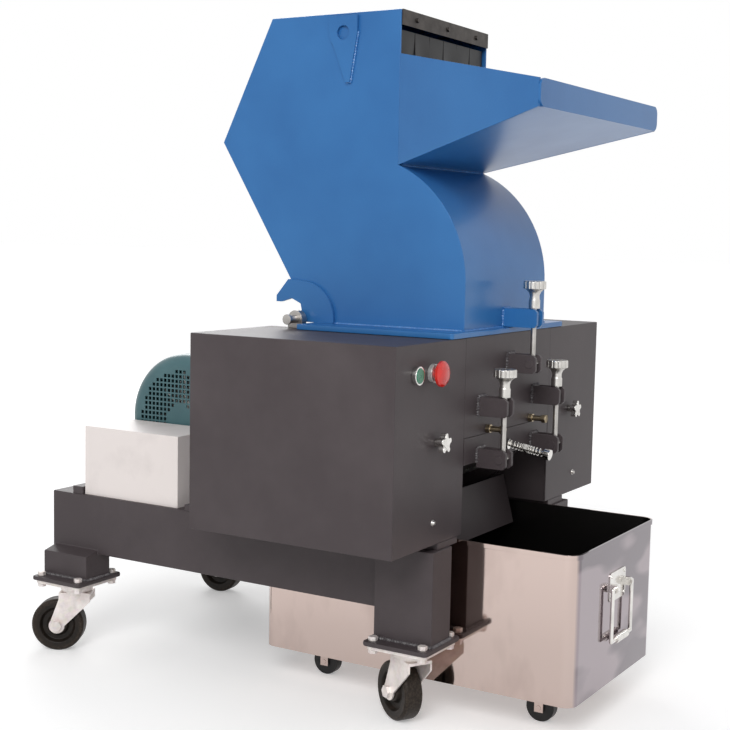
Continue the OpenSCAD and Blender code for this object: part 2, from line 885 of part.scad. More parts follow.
module cradle() {
  front_top = cradle_z + cradle_h;
  color("dimgray") placed() {
    block([-cradle_half, cradle_half], [0, cradle_plate_t], [cradle_z, front_top]);
    block([-cradle_half, cradle_half], [cradle_plate_t, rotor_y - arc_out], [front_top - cradle_plate_t,
      front_top]);
    for (s = [-1, 1]) difference() {
      translate([s * (cradle_half - cradle_rib_t / 2), 0, 0]) across([-cradle_rib_t / 2,
        cradle_rib_t / 2]) difference() {
        union() {
          intersection() {
            translate([rotor_y, rotor_z]) circle(r = arc_out + cradle_rib_d);
            translate([rotor_y - 2 * arc_out, rotor_z - 2 * arc_out])
              square([4 * arc_out, 2 * arc_out - cradle_plate_t]);
          }
          translate([cradle_plate_t, cradle_z]) square([rotor_y - cradle_plate_t, cradle_plate_t]);
          translate([hinge_y, hinge_z]) circle(r = cradle_eye_r);
        }
        translate([rotor_y, rotor_z]) circle(r = arc_out + touch);
        translate([hinge_y, hinge_z]) circle(r = hinge_d / 2 + fit);
        translate([chamber_d - wall_t - touch, seam_z - touch]) square([2 * wall_t, wall_t]);
        translate([rotor_y, seam_z - cradle_plate_t]) square([arc_out + cradle_rib_d, 2 * cradle_plate_t]);
        translate([0, 0]) square([cradle_plate_t, front_top + cradle_plate_t]);
      }
    }
    for (x = [-clamp_x, clamp_x]) lug_pair(x, low_pin_z - lug_h / 2, 0, true);
  }
}

screen_first = 188;
screen_last = 335;
screen_rows = 9;
screen_across_n = 9;

module screen() {
  half = cradle_half - touch;
  step = 2 * half / (screen_across_n + 1);
  color("silver") placed() difference() {
    across([-half, half]) intersection() {
      difference() {
        translate([rotor_y, rotor_z]) circle(r = arc_out);
        translate([rotor_y, rotor_z]) circle(r = arc_in);
      }
      translate([rotor_y, rotor_z]) polygon([[0, 0], 2 * arc_out * [cos(screen_first), sin(screen_first)],
        3 * arc_out * [cos(225), sin(225)], 3 * arc_out * [cos(315), sin(315)],
        2 * arc_out * [cos(screen_last), sin(screen_last)]]);
    }
    for (i = [1:screen_rows], j = [1:screen_across_n])
      translate([-half + j * step, rotor_y,
        rotor_z]) rotate([screen_first + (screen_last - screen_first) * i / (screen_rows + 1), 0, 0])
        rotate([-90, 0, 0]) translate([0, 0, arc_in - over]) cylinder(r = hole_d / 2,
          h = screen_t + 2 * over, $fn = 16);
  }
}

chute_side_gap = 7;
chute_top_front = 83;
chute_top_rear = 290;
chute_low_front = 60;
chute_low_rear = 252;
chute_below_bed = 45;
chute_above_bed = 44;
chute_seat = 22;

// The discharge chute hangs from the cradle and reaches into the bin
module chute() {
  half = half_gap - chute_side_gap;
  chute_low = bed_z - chute_below_bed;
  high_z = bed_z + chute_above_bed;
  color("dimgray") placed() difference() {
    across([-half, half]) difference() {
      polygon([[chute_top_front, high_z], [chute_top_rear, high_z], [chute_low_rear, chute_low],
        [chute_low_front, chute_low]]);
      translate([rotor_y, rotor_z]) circle(r = arc_out + touch + chute_seat);
    }
    across([-half + sheet_t, half - sheet_t])
      polygon([[chute_top_front + sheet_t, high_z + over], [chute_top_rear - sheet_t, high_z + over],
        [chute_low_rear - sheet_t, chute_low - over], [chute_low_front + sheet_t, chute_low - over]]);
  }
}

handle_cap_r = 9.5;
handle_cap_l = 11;
handle_ring_t = 2;

module spring_rod() {
  color("silver") placed() difference() {
    translate([0, 0, rod_z]) rotate([rod_tilt, 0, 0]) {
      translate([0, over, 0]) rotate([90, 0, 0]) cylinder(r = rod_r, h = rod_l + over);
      translate([0, -rod_l + handle_cap_l, 0]) rotate([90, 0, 0]) cylinder(r = handle_cap_r,
        h = handle_cap_l);
      translate([0, -handle_ring_t, 0]) rotate([90, 0, 0]) cylinder(r = handle_cap_r, h = handle_ring_t);
    }
    block([-handle_cap_r, handle_cap_r], [0, 2 * over], [rod_z - handle_cap_r, rod_z + handle_cap_r]);
  }
}

rod_r = 4;

// Spring: one tube wound about the handle rod
spring_from = 5;
spring_end = 15;
spring_to = rod_l - spring_end;
spring_r = 6.6;
ring_sides = 6;
rings = 8;
ring_count = curls * rings;
function close_up(s) = s + 0.11 * sin(360 * s);
function coil_point(i) = let (s = i / ring_count, a = 360 * curls * s)
  [spring_r * cos(a), -spring_from - (spring_to - spring_from) * close_up(s), spring_r * sin(a)];
function unit(v) = v / norm(v);
coil_ways = [for (i = [0:ring_count]) coil_point(i)];
lead_in = coil_ways[0] - wire_d * unit(coil_ways[1] - coil_ways[0]);
lead_out = coil_ways[ring_count] + wire_d * unit(coil_ways[ring_count] - coil_ways[ring_count - 1]);
wire_ways = concat([lead_in], coil_ways, [lead_out]);
function wire_ring(i) = let (n = len(wire_ways),
  d = unit(wire_ways[min(i + 1, n - 1)] - wire_ways[max(i - 1, 0)]),
  u = unit(cross(d, [0, 1, 0])), v = cross(d, u))
  [for (k = [0:ring_sides - 1]) wire_ways[i] + wire_d / 2 * (cos(60 * k) * u + sin(60 * k) * v)];
spring_gap = min([for (i = [0:ring_count - rings]) min([for (j = [i + rings - 1:min(i + rings + 1,
  ring_count)])
  norm(coil_point(j) - coil_point(i))])]) - wire_d;
echo(least_spring_gap = spring_gap);

module spring() {
  n = len(wire_ways);
  points = [for (i = [0:n - 1]) each wire_ring(i)];
  sides = [for (i = [0:n - 2], k = [0:ring_sides - 1]) let (a = i * ring_sides + k,
    b = i * ring_sides + (k + 1) % ring_sides) each [[a, b, b + ring_sides],
      [a, b + ring_sides, a + ring_sides]]];
  ends = [[for (k = [ring_sides - 1:-1:0]) k], [for (k = [0:ring_sides - 1]) (n - 1) * ring_sides + k]];
  color("gainsboro") placed() translate([0, 0, rod_z]) rotate([rod_tilt, 0, 0])
    polyhedron(points = points, faces = concat(sides, ends));
}

// Rotor
first_turn = 7;
next_turn = 24;

shaft_left_end = 312;
shaft_right_end = 318;

module rotor_shaft() {
  color("silver") placed() rod_x([-shaft_left_end, shaft_right_end], rotor_y, rotor_z, shaft_d / 2);
}

arm_in = 8;
blade_out = 14;

rotor_discs = 5;

module rotor() {
  half = half_gap - arm_in;
  step = (2 * half - arm_t) / (rotor_discs - 1);
  reach = cut_d / 2 - blade_out;
  color("gray") placed() {
    difference() {
      rod_x([-half - over, half + over], rotor_y, rotor_z, core_d / 2);
      rod_x([-half - 2 * over, half + 2 * over], rotor_y, rotor_z, shaft_d / 2);
    }
    for (i = [0:rotor_discs - 1])
      translate([-half + i * step, rotor_y, rotor_z]) rotate([first_turn + next_turn * i, 0, 0]) across([0,
        arm_t])
        for (k = [0:2]) rotate(120 * k) difference() {
          translate([0, -blade_t * 2]) square([reach, blade_t * 2]);
          circle(r = core_d / 2 + fit);
        }
  }
}

blades_discs = 5;
blades_bite = 6;

module rotor_blades() {
  half = half_gap - arm_in;
  step = (2 * half - arm_t) / (blades_discs - 1);
  root = core_d / 2 + blades_bite;
  color("gainsboro") placed() for (i = [0:blades_discs - 1])
    translate([-half + i * step, rotor_y, rotor_z]) rotate([first_turn + next_turn * i, 0, 0]) across([0,
      arm_t])
      for (k = [0:2]) rotate(120 * k) polygon([[root, 0], [cut_d / 2 - touch, 0], [cut_d / 2 - blade_t / 2,
        blade_t],
        [root, blade_t]]);
}

groove = 12;
groove_tooth = 6.5;

module groove_wheel(x, y, z, d, width) {
  translate([x, y, z]) rotate([0, 90, 0]) difference() {
    translate([0, 0, -width / 2]) cylinder(r = d / 2, h = width);
    for (i = [-1:1]) translate([0, 0, i * belt_pitch]) rotate_extrude()
      polygon([[d / 2 - groove, -groove_tooth / 2], [d / 2 + over, -groove_tooth], [d / 2 + over,
        groove_tooth], [d / 2 - groove, groove_tooth / 2]]);
  }
}

wheel_width = 60;

wheels_rim = 26;
wheels_hub = 50;
wheels_web = 18;
wheels_fly_in = 246;

module rotor_wheels() {
  color("dimgray") placed() {
    difference() {
      groove_wheel(belt_x, rotor_y, rotor_z, large_d, wheel_width);
      rod_x([0, half_w], rotor_y, rotor_z, shaft_d / 2);
    }
    difference() {
      rod_x([-wheels_fly_in - fly_w, -wheels_fly_in], rotor_y, rotor_z, fly_d / 2);
      rod_x([-half_w, 0], rotor_y, rotor_z, shaft_d / 2);
      translate([-wheels_fly_in - fly_w - over, rotor_y, rotor_z]) rotate([0, 90, 0]) difference() {
        cylinder(r = fly_d / 2 - wheels_rim, h = (fly_w - wheels_web) / 2 + over);
        cylinder(r = wheels_hub, h = fly_w);
      }
    }
  }
}

// A belt's loop, round both pulleys and straight between them
module belt_loop(r1, r2) {
  dy = motor_y - rotor_y;
  dz = motor_z - rotor_z;
  span = sqrt(dy * dy + dz * dz);
  tilt = atan2(dz, dy);
  lean = acos((r1 - r2) / span);
  translate([rotor_y, rotor_z]) rotate(tilt) {
    circle(r = r1, $fn = 96);
    translate([span, 0]) circle(r = r2);
    polygon([r1 * [cos(lean), sin(lean)], r1 * [cos(lean), -sin(lean)],
      [span + r2 * cos(lean), -r2 * sin(lean)], [span + r2 * cos(lean), r2 * sin(lean)]]);
  }
}

belts_belt_h = 9;
belts_belt_w = 7;
belts_sink = 10;

module v_belts() {
  color("black") placed() for (i = [-1:1]) across([belt_x + i * belt_pitch - belts_belt_w / 2,
    belt_x + i * belt_pitch + belts_belt_w / 2])
    difference() {
      belt_loop(large_d / 2 - belts_sink + belts_belt_h, small_d / 2 - belts_sink + belts_belt_h);
      belt_loop(large_d / 2 - belts_sink, small_d / 2 - belts_sink);
    }
}

// Motor
motor_from = -cowl_x + cowl_l;
motor_to = motor_from + motor_l;

motor_fins = 36;
motor_fin_t = 3;
motor_foot_x_from = 30;
motor_foot_x_to = 50;
motor_foot_x = [motor_foot_x_from, motor_foot_x_to];
motor_foot_l = 34;
motor_stand = 108;
motor_bell = 26;
motor_plug = 60;
motor_bore = 22;
motor_case_h = 62;
motor_case_x_from = 20;
motor_case_x_to = 130;
motor_case_x = [motor_case_x_from, motor_case_x_to];
motor_spigot = 62;
motor_seat = 14;

module motor_body() {
  core = 0.8 * cowl_d / 2;
  tip = 0.93 * cowl_d / 2;
  foot_h = 0.3 * motor_h;
  foot_base = beam_top + motor_t;
  color("teal") placed() {
    difference() {
      union() {
        for (x = [motor_from + motor_foot_x[0], motor_to - motor_foot_x[1] - motor_foot_l])
          block([x, x + motor_foot_l + motor_foot_x[0] / 2],
            [motor_y - motor_stand, motor_y + motor_stand], [foot_base, foot_base + foot_h]);
        block([motor_from + motor_case_x[0], motor_from + motor_case_x[1]], [motor_y - motor_plug,
          motor_y + motor_plug],
          [motor_z + core, motor_z + core + motor_case_h / 2]);
      }
      rod_x([motor_from, motor_to], motor_y, motor_z, tip + fit);
    }
    difference() {
      union() {
        rod_x([motor_from, motor_to], motor_y, motor_z, core);
        translate([0, motor_y, motor_z]) across([motor_from + motor_bell, motor_to - motor_bell])
          for (i = [0:motor_fins - 1]) rotate(360 / motor_fins * i) translate([0,
            -motor_fin_t / 2]) square([tip, motor_fin_t]);
        rod_x([motor_from, motor_from + motor_bell], motor_y, motor_z, tip);
        rod_x([motor_from - motor_seat, motor_from], motor_y, motor_z, cowl_d / 2 - cowl_wall - fit);
        rod_x([motor_to - motor_bell, motor_to], motor_y, motor_z, tip);
        rod_x([motor_to, motor_to + motor_bell / 2], motor_y, motor_z, motor_spigot);
      }
      rod_x([motor_from - motor_seat - over, motor_to + motor_bell], motor_y, motor_z, motor_bore);
    }
  }
}

cowl_wall = 2;
cowl_bend = 23;

module motor_cowl() {
  r = cowl_d / 2;
  bend = cowl_bend;
  wall = cowl_wall;
  face = r - bend;
  color("teal") placed() translate([-cowl_x, motor_y, motor_z]) rotate([0, 90, 0]) difference() {
    rotate_extrude($fn = 96) difference() {
      union() {
        translate([0, bend]) square([r, cowl_l - bend]);
        square([face, bend]);
        translate([face, bend]) circle(r = bend);
      }
      translate([0, bend]) square([r - wall, cowl_l]);
      translate([0, wall]) square([face, bend]);
      translate([face, bend]) circle(r = bend - wall);
      translate([-cowl_l, -over]) square([cowl_l, 2 * cowl_l]);
    }
    translate([0, 0, -over]) cylinder(r = face - wall, h = 2 * over);
  }
}

grille_middle = 28;
grille_ring = 4;

// The guard in the cowl's face: square holes in rows around a plain middle
module cowl_grille() {
  r = cowl_d / 2 - cowl_bend - cowl_wall;
  guard_t = cowl_wall;
  n = floor(r / grille_pitch);
  half = grille_hole / 2;
  color("darkcyan") placed() translate([0, motor_y, motor_z]) across([-cowl_x,
    -cowl_x + guard_t]) difference() {
    circle(r = r, $fn = 96);
    for (i = [-n:n], j = [-n:n]) {
      at = norm([i, j]) * grille_pitch;
      if (at > grille_middle + grille_hole / 2 && at < r - grille_ring - grille_hole / 2)
        translate([i * grille_pitch - half, j * grille_pitch - half]) square(grille_hole);
    }
  }
}

plate_front = 528;
plate_rear = 748;
plate_rail = 14;
plate_rail_l = 24;
plate_lap = 2;
plate_short = 4;

module motor_plate() {
  rail_y = box_y + box_d + plate_lap;
  color("gray") placed() {
    block([-cowl_x - plate_lap, beam_out - plate_short], [plate_front, plate_rear],
      [beam_top, beam_top + motor_t]);
    block([-beam_out + plate_lap, -beam_out + plate_lap + 2 * plate_rail], [rail_y, rail_y + plate_rail_l],
      [beam_top, beam_top + plate_rail]);
  }
}

fan_shaft_r = 19;
fan_in = 30;
fan_w = 34;
fan_r = 92;
fan_hub = 34;
fan_blades = 9;

// The rotating parts of the motor: shaft, fan and pulley
module motor_rotor() {
  fan_x = -cowl_x + fan_in;
  color("silver") placed() {
    rod_x([fan_x - over, belt_x + wheel_width / 2 + over], motor_y, motor_z, fan_shaft_r);
    groove_wheel(belt_x, motor_y, motor_z, small_d, wheel_width);
    translate([0, motor_y, motor_z]) {
      across([fan_x, fan_x + fan_w]) {
        circle(r = fan_hub);
        for (i = [0:fan_blades - 1]) rotate(360 / fan_blades * i) translate([0,
          -sheet_t / 2]) square([fan_r, sheet_t]);
      }
      across([fan_x + fan_w, fan_x + fan_w + sheet_t]) circle(r = fan_r);
    }
  }
}

box_step_in = 7;
box_lid_t = 2;
box_rib = 1.5;
box_seal_r = 9;

module control_box() {
  x = beam_out - box_step_in;
  color("white") placed() {
    difference() {
      block([-x, -x + box_w], [box_y + box_lid_t, box_y + box_d], [beam_top, beam_top + box_h]);
      block([-x + box_rib, -x + box_w - box_rib], [box_y, box_y + box_d - box_rib], [beam_top + box_rib,
        beam_top + box_h - box_rib]);
      rod_y(-x + box_w / 2, [box_y + box_d - over, box_y + box_d + over], beam_top + box_h / 3, gland_r);
    }
    block([-x + touch, -x + box_w - touch], [box_y, box_y + box_lid_t], [beam_top, beam_top + box_h]);
    difference() {
      rod_y(-x + box_w / 2, [box_y + box_d, box_y + box_d + box_seal_r], beam_top + box_h / 3, box_seal_r);
      rod_y(-x + box_w / 2, [box_y + box_d - over, box_y + box_d + box_seal_r + over],
        beam_top + box_h / 3, gland_r);
    }
  }
}

gland_r = 6;

collar_lip = 8;
collar_neck = 8;
collar_body_l = 40;
collar_nut = 14;
collar_stem = 8;

// Buttons
module button_collars() {
  green_r = bezel_d / 2;
  z = bed_z + button_h;
  color("silver") placed() difference() {
    union() {
      for (x = [-green_x, -red_x]) {
        rod_y(x, [0, collar_body_l], z, collar_d / 2);
        rod_y(x, [sheet_t, sheet_t + over], z, collar_nut);
      }
      rod_y(-green_x, [-collar_lip, 0], z, green_r);
      rod_y(-red_x, [-collar_neck, 0], z, green_r);
    }
    rod_y(-green_x, [-2 * collar_lip, -cap_floor], z, green_face + 2 * fit);
    rod_y(-green_x, [-collar_lip, collar_body_l / 2], z, collar_stem + 2 * fit);
    rod_y(-red_x, [-2 * collar_neck, collar_body_l / 2], z, collar_stem + 2 * fit);
  }
}

green_face = 11.7;
cap_floor = 2;

green_proud = 9;
green_cap = 3.5;
green_depth = 12;
green_stem = 8;

module green_button() {
  z = bed_z + button_h;
  color("green") placed() {
    rod_y(-green_x, [-green_proud, green_cap - green_proud], z, green_face);
    rod_y(-green_x, [green_cap - green_proud, green_depth], z, green_stem);
  }
}

red_head_from = -14;
red_head_to = -27;
red_stem = 8;
red_depth = 14;
red_rim = 3;
red_crown = 6;

module red_button() {
  z = bed_z + button_h;
  r = head_d / 2;
  color("red") placed() {
    rod_y(-red_x, [red_head_from, red_depth], z, red_stem);
    translate([-red_x, red_head_from, z]) rotate([90, 0, 0]) rotate_extrude()
      polygon([[0, 0], [r - red_rim, 0], [r, red_rim], [r, -red_head_to + red_head_from - red_crown],
        [r - red_rim, -red_head_to + red_head_from - red_rim],
        [r / 2, -red_head_to + red_head_from], [0, -red_head_to + red_head_from]]);
  }
}

// Bin
module bin_outline(inset) {
  w = bin_w - 2 * inset;
  translate([-w / 2, -bin_y + inset]) round_square(w, bin_l - 2 * inset, bin_r - inset);
}

caster_x = 95;
caster_y = [-122, 305];

bin_rim_h = 8;
bin_rim_out = 2;
bin_fork_t = 2;
bin_fork_w = 26;
bin_plate = 44;
bin_lock = 8;

module bin() {
  wheel_z = small_wheel / 2;
  color("lightgray") placed() {
    difference() {
      union() {
        translate([0, 0, bin_z]) linear_extrude(height = rim_z - bin_z) bin_outline(0);
        translate([0, 0, rim_z - bin_rim_h]) linear_extrude(height = bin_rim_h) bin_outline(-bin_rim_out);
      }
      translate([0, 0, bin_z + bin_t]) linear_extrude(height = rim_z) bin_outline(bin_t);
      block([-bin_w / 2 + bin_t, bin_w / 2 - bin_t], [bin_l - bin_y - bin_r, bin_l - bin_y + bin_r],
        [low_z, rim_z + over]);
    }
    for (x = [-caster_x, caster_x], y = caster_y) {
      block([x - bin_plate / 2, x + bin_plate / 2], [y - bin_plate / 2, y + bin_plate / 2],
        [bin_z - bin_fork_t, bin_z]);
      for (s = [-1, 1]) {
        block([x + s * bin_fork_w / 2 - bin_fork_t / 2, x + s * bin_fork_w / 2 + bin_fork_t / 2],
          [y - bin_lock, y + bin_lock], [wheel_z - bin_lock, bin_z - bin_fork_t]);
      }
      rod_x([x - bin_fork_w / 2 - bin_fork_t, x + bin_fork_w / 2 + bin_fork_t], y, wheel_z, bin_lock / 2);
    }
  }
}

roller_width = 18;
roller_axle = 4;

module small_wheels(y) {
  for (x = [-caster_x, caster_x]) difference() {
    rod_x([x - roller_width / 2, x + roller_width / 2], y, small_wheel / 2, small_wheel / 2);
    rod_x([x - roller_width, x + roller_width], y, small_wheel / 2, roller_axle + fit);
  }
}

module bin_wheels_front() {
  color("dimgray") placed() small_wheels(caster_y[0]);
}

module bin_wheels_rear() {
  color("dimgray") placed() small_wheels(caster_y[1]);
}

grip_z = 226;
grip_half = 44;
grip_out = 10;
grip_y = bin_y + grip_out;

ear_plate_w = 72;
ear_plate_h = 50;
ear_plate_t = 2;
ear_eye = 7;
ear_eye_w = 8;

module bin_handle() {
  low = grip_z - ear_plate_h / 2;
  color("silver") placed() {
    translate([-ear_plate_w / 2, 0, low]) along([-bin_y - ear_plate_t, -bin_y]) round_square(ear_plate_w,
      ear_plate_h, ear_eye);
    for (s = [-1, 1]) difference() {
      translate([s * (ear_plate_w / 2 - ear_eye_w / 2), 0, 0]) across([-ear_eye_w / 2, ear_eye_w / 2]) {
        translate([-grip_y, grip_z]) circle(r = ear_eye);
        translate([-grip_y, grip_z - ear_eye]) square([grip_y - bin_y - ear_plate_t, 2 * ear_eye]);
      }
      rod_x([-half_w, half_w], -grip_y, grip_z, bail_r + fit);
    }
  }
}

bail_r = 3.5;

bail_drop = 88;
bail_grip_r = 7;
bail_rib_r = 2;
bail_grip_l = 52;
bail_ribs = 7;
bail_stub = 12;

module bin_bail() {
  low = grip_z - bail_drop;
  color("silver") placed() {
    for (s = [-1, 1]) {
      rod_z(s * grip_half, -grip_y, [low, grip_z], bail_r);
      translate([s * grip_half, -grip_y, low]) sphere(r = bail_r);
      translate([s * grip_half, -grip_y, grip_z]) sphere(r = bail_r);
      rod_x([min(s * grip_half, s * (grip_half - bail_stub - over)),
        max(s * grip_half, s * (grip_half - bail_stub - over))],
        -grip_y, grip_z, bail_r);
    }
    rod_x([-grip_half, grip_half], -grip_y, low, bail_r);
    rod_x([-bail_grip_l / 2, bail_grip_l / 2], -grip_y, low, bail_grip_r - bail_rib_r / 2);
    for (i = [0:bail_ribs - 1]) translate([-bail_grip_l / 2 + (i + 0.5) * bail_grip_l / bail_ribs, -grip_y,
      low]) rotate([0, 90, 0])
      rotate_extrude() translate([bail_grip_r - bail_rib_r, 0]) circle(r = bail_rib_r);
  }
}

// Casters
module at_caster(x, y, turn) {
  placed() translate([x, y, 0]) rotate([0, 0, turn]) children();
}

race_h = 7;
race_r = 34;

race_corner = 8;
race_bolt = 4.8;
race_nut = 8;
race_nut_h = 7;

module caster_plates() {
  half = caster_w / 2;
  color("gainsboro") placed()
    for (p = [[-front_leg_x, front_leg_y], [front_leg_x, front_leg_y], [-rear_leg_x, rear_leg_y],
      [rear_leg_x, rear_leg_y]]) {
      translate([p[0] - half, p[1] - half, caster_h]) linear_extrude(height = caster_t)
        round_square(caster_w, caster_w, race_corner);
      rod_z(p[0], p[1], [caster_h - race_h, caster_h], race_r);
      for (a = [-1, 1], b = [-1, 1]) {
        rod_z(p[0] + a * bolt_reach, p[1] + b * bolt_reach, [caster_h - race_nut_h, leg_z + race_nut_h],
          race_bolt);
        translate([p[0] + a * bolt_reach, p[1] + b * bolt_reach, caster_h - race_nut_h]) hex_bolt(race_nut,
          race_nut_h);
        translate([p[0] + a * bolt_reach, p[1] + b * bolt_reach, leg_z]) hex_bolt(race_nut, race_nut_h);
      }
    }
}

axle_r = 6;

fork_arm_t = 3.5;
fork_gap = 2;
fork_crown_t = 8;
fork_crown = 30;
fork_crown_step = 4;
fork_foot = 15;
fork_nut_t = 7;
fork_nut = 11;

module fork() {
  crown_z = caster_h - race_h - touch;
  inner = wheel_w / 2 + fork_gap;
  rod_z(0, 0, [crown_z - fork_crown_t, crown_z], fork_crown);
  rod_z(0, 0, [crown_z - 2 * fork_crown_t, crown_z - fork_crown_t + touch], fork_crown - fork_crown_step);
  translate([-fork_crown, -inner - fork_arm_t, crown_z - 2 * fork_crown_t]) cube([2 * fork_crown,
    2 * (inner + fork_arm_t), fork_arm_t * 1.5]);
  for (s = [-1, 1]) translate([0, s * (inner + fork_arm_t / 2) + fork_arm_t / 2, 0]) rotate([90, 0,
    0]) linear_extrude(height = fork_arm_t) difference() {
    union() {
      polygon([[-fork_crown, crown_z - 2 * fork_crown_t + fork_arm_t],
        [fork_crown, crown_z - 2 * fork_crown_t + fork_arm_t], [fork_crown, crown_z - 3 * fork_crown_t],
        [trail + fork_foot, wheel_r], [trail - fork_foot, wheel_r],
          [-fork_crown, crown_z - 3.5 * fork_crown_t]]);
      translate([trail, wheel_r]) circle(r = fork_foot);
    }
  }
  rod_y(trail, [-inner - fork_arm_t - fork_nut_t, inner + fork_arm_t + fork_nut_t], wheel_r, axle_r);
  translate([trail, -inner - fork_arm_t, wheel_r]) rotate([90, 0, 0]) hex_bolt(fork_nut, fork_nut_t);
  translate([trail, inner + fork_arm_t + fork_nut_t, wheel_r]) rotate([90, 0, 0]) hex_bolt(fork_nut,
    fork_nut_t);
}

wheel_tread = 4;
wheel_web = 9;
wheel_hub = 17;
wheel_rim_t = 16;
wheel_rim_edge = 1;

module wheel() {
  w = wheel_w / 2;
  rim = wheel_r - wheel_rim_t;
  translate([trail, 0, wheel_r]) rotate([90, 0, 0]) rotate_extrude()
    polygon([[axle_r + fit, -w], [wheel_hub, -w], [wheel_hub + wheel_tread, -w + wheel_web],
      [rim - wheel_tread, -w + wheel_web], [rim, -w + wheel_rim_edge],
      [wheel_r - wheel_tread, -w], [wheel_r, -w + wheel_tread], [wheel_r, w - wheel_tread],
        [wheel_r - wheel_tread, w], [rim, w - wheel_rim_edge],
      [rim - wheel_tread, w - wheel_web], [wheel_hub + wheel_tread, w - wheel_web], [wheel_hub, w],
        [axle_r + fit, w]]);
}

module fork_front_left() {
  color("gainsboro") at_caster(-front_leg_x, front_leg_y, turn_fl) fork();
}

module fork_front_right() {
  color("gainsboro") at_caster(front_leg_x, front_leg_y, turn_fr) fork();
}

module fork_rear_left() {
  color("gainsboro") at_caster(-rear_leg_x, rear_leg_y, turn_rl) fork();
}

module fork_rear_right() {
  color("gainsboro") at_caster(rear_leg_x, rear_leg_y, turn_rr) fork();
}

module wheel_front_left() {
  color("saddlebrown") at_caster(-front_leg_x, front_leg_y, turn_fl) wheel();
}

module wheel_front_right() {
  color("saddlebrown") at_caster(front_leg_x, front_leg_y, turn_fr) wheel();
}

module wheel_rear_left() {
  color("saddlebrown") at_caster(-rear_leg_x, rear_leg_y, turn_rl) wheel();
}

module wheel_rear_right() {
  color("saddlebrown") at_caster(rear_leg_x, rear_leg_y, turn_rr) wheel();
}

frame_left();
frame_right();
cross_beams();
bed_plate();
chamber_left();
chamber_right();
front_wall();
rear_wall();
fixed_blades();
bearings();
left_cover();
right_cover();
hinge_pins();
clamp_lugs();
motor_body();
motor_cowl();
cowl_grille();
motor_plate();
control_box();
button_collars();
v_belts();
caster_plates();
star_knob_left();
star_knob_right();
hopper_shell();
feed_tray();
curtain_strip();
curtain_flaps();
hopper_lugs();
top_bolt();
left_bolt();
right_bolt();
top_knob();
left_knob();
right_knob();
cradle();
screen();
chute();
spring_rod();
spring();
rotor_shaft();
rotor();
rotor_blades();
rotor_wheels();
motor_rotor();
green_button();
red_button();
bin();
bin_handle();
bin_bail();
bin_wheels_front();
bin_wheels_rear();
fork_front_left();
fork_front_right();
fork_rear_left();
fork_rear_right();
wheel_front_left();
wheel_front_right();
wheel_rear_left();
wheel_rear_right();
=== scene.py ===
import json
import math

import bmesh
import bpy
from mathutils import Matrix, Vector


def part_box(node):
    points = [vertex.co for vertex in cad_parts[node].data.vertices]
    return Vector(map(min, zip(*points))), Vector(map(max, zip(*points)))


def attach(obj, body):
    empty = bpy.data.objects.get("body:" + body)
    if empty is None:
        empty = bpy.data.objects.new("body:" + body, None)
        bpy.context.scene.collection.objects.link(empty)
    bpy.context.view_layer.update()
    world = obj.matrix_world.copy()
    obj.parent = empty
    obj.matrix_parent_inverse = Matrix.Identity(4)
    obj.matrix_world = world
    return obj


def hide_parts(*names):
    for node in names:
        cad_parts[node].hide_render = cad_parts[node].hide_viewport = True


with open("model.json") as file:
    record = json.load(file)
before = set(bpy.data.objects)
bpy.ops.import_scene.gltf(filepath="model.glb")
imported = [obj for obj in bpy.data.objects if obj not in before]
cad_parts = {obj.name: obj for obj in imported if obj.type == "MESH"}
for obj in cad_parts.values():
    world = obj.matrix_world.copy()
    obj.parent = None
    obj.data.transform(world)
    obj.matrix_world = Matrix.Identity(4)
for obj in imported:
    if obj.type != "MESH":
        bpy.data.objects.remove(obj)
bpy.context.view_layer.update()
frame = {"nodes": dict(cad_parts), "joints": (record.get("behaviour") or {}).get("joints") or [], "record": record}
nodes = frame["nodes"]
scene = bpy.context.scene
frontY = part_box("left_cover")[0].y  # the covers' front face, from which the depths below are counted
print("frame loaded:", len(nodes), "nodes")


def at(x, y, z):
    return Vector((x / 1000, y / 1000 + frontY, z / 1000))


# Node trees as plain expressions
class Wire:
    def __init__(self, sheet, socket):
        self.sheet = sheet
        self.socket = socket

    def maths(self, operation, other=None, swapped=False):
        pair = [self] if other is None else ([other, self] if swapped else [self, other])
        return self.sheet.add("ShaderNodeMath", {"operation": operation}, dict(enumerate(pair)))

    def __add__(self, other):
        return self.maths("ADD", other)

    def __sub__(self, other):
        return self.maths("SUBTRACT", other)

    def __rsub__(self, other):
        return self.maths("SUBTRACT", other, True)

    def __mul__(self, other):
        return self.maths("MULTIPLY", other)

    def __truediv__(self, other):
        return self.maths("DIVIDE", other)

    def __rtruediv__(self, other):
        return self.maths("DIVIDE", other, True)

    def __gt__(self, other):
        return self.maths("GREATER_THAN", other)

    def __lt__(self, other):
        return self.maths("LESS_THAN", other)

    __radd__ = __add__
    __rmul__ = __mul__

    def size(self):
        return self.maths("ABSOLUTE")

    def between(self, low, high):
        wanted = {"clamp": True}
        return self.sheet.add("ShaderNodeMapRange", wanted, {0: self, 1: low, 2: high, 3: 0.0, 4: 1.0})


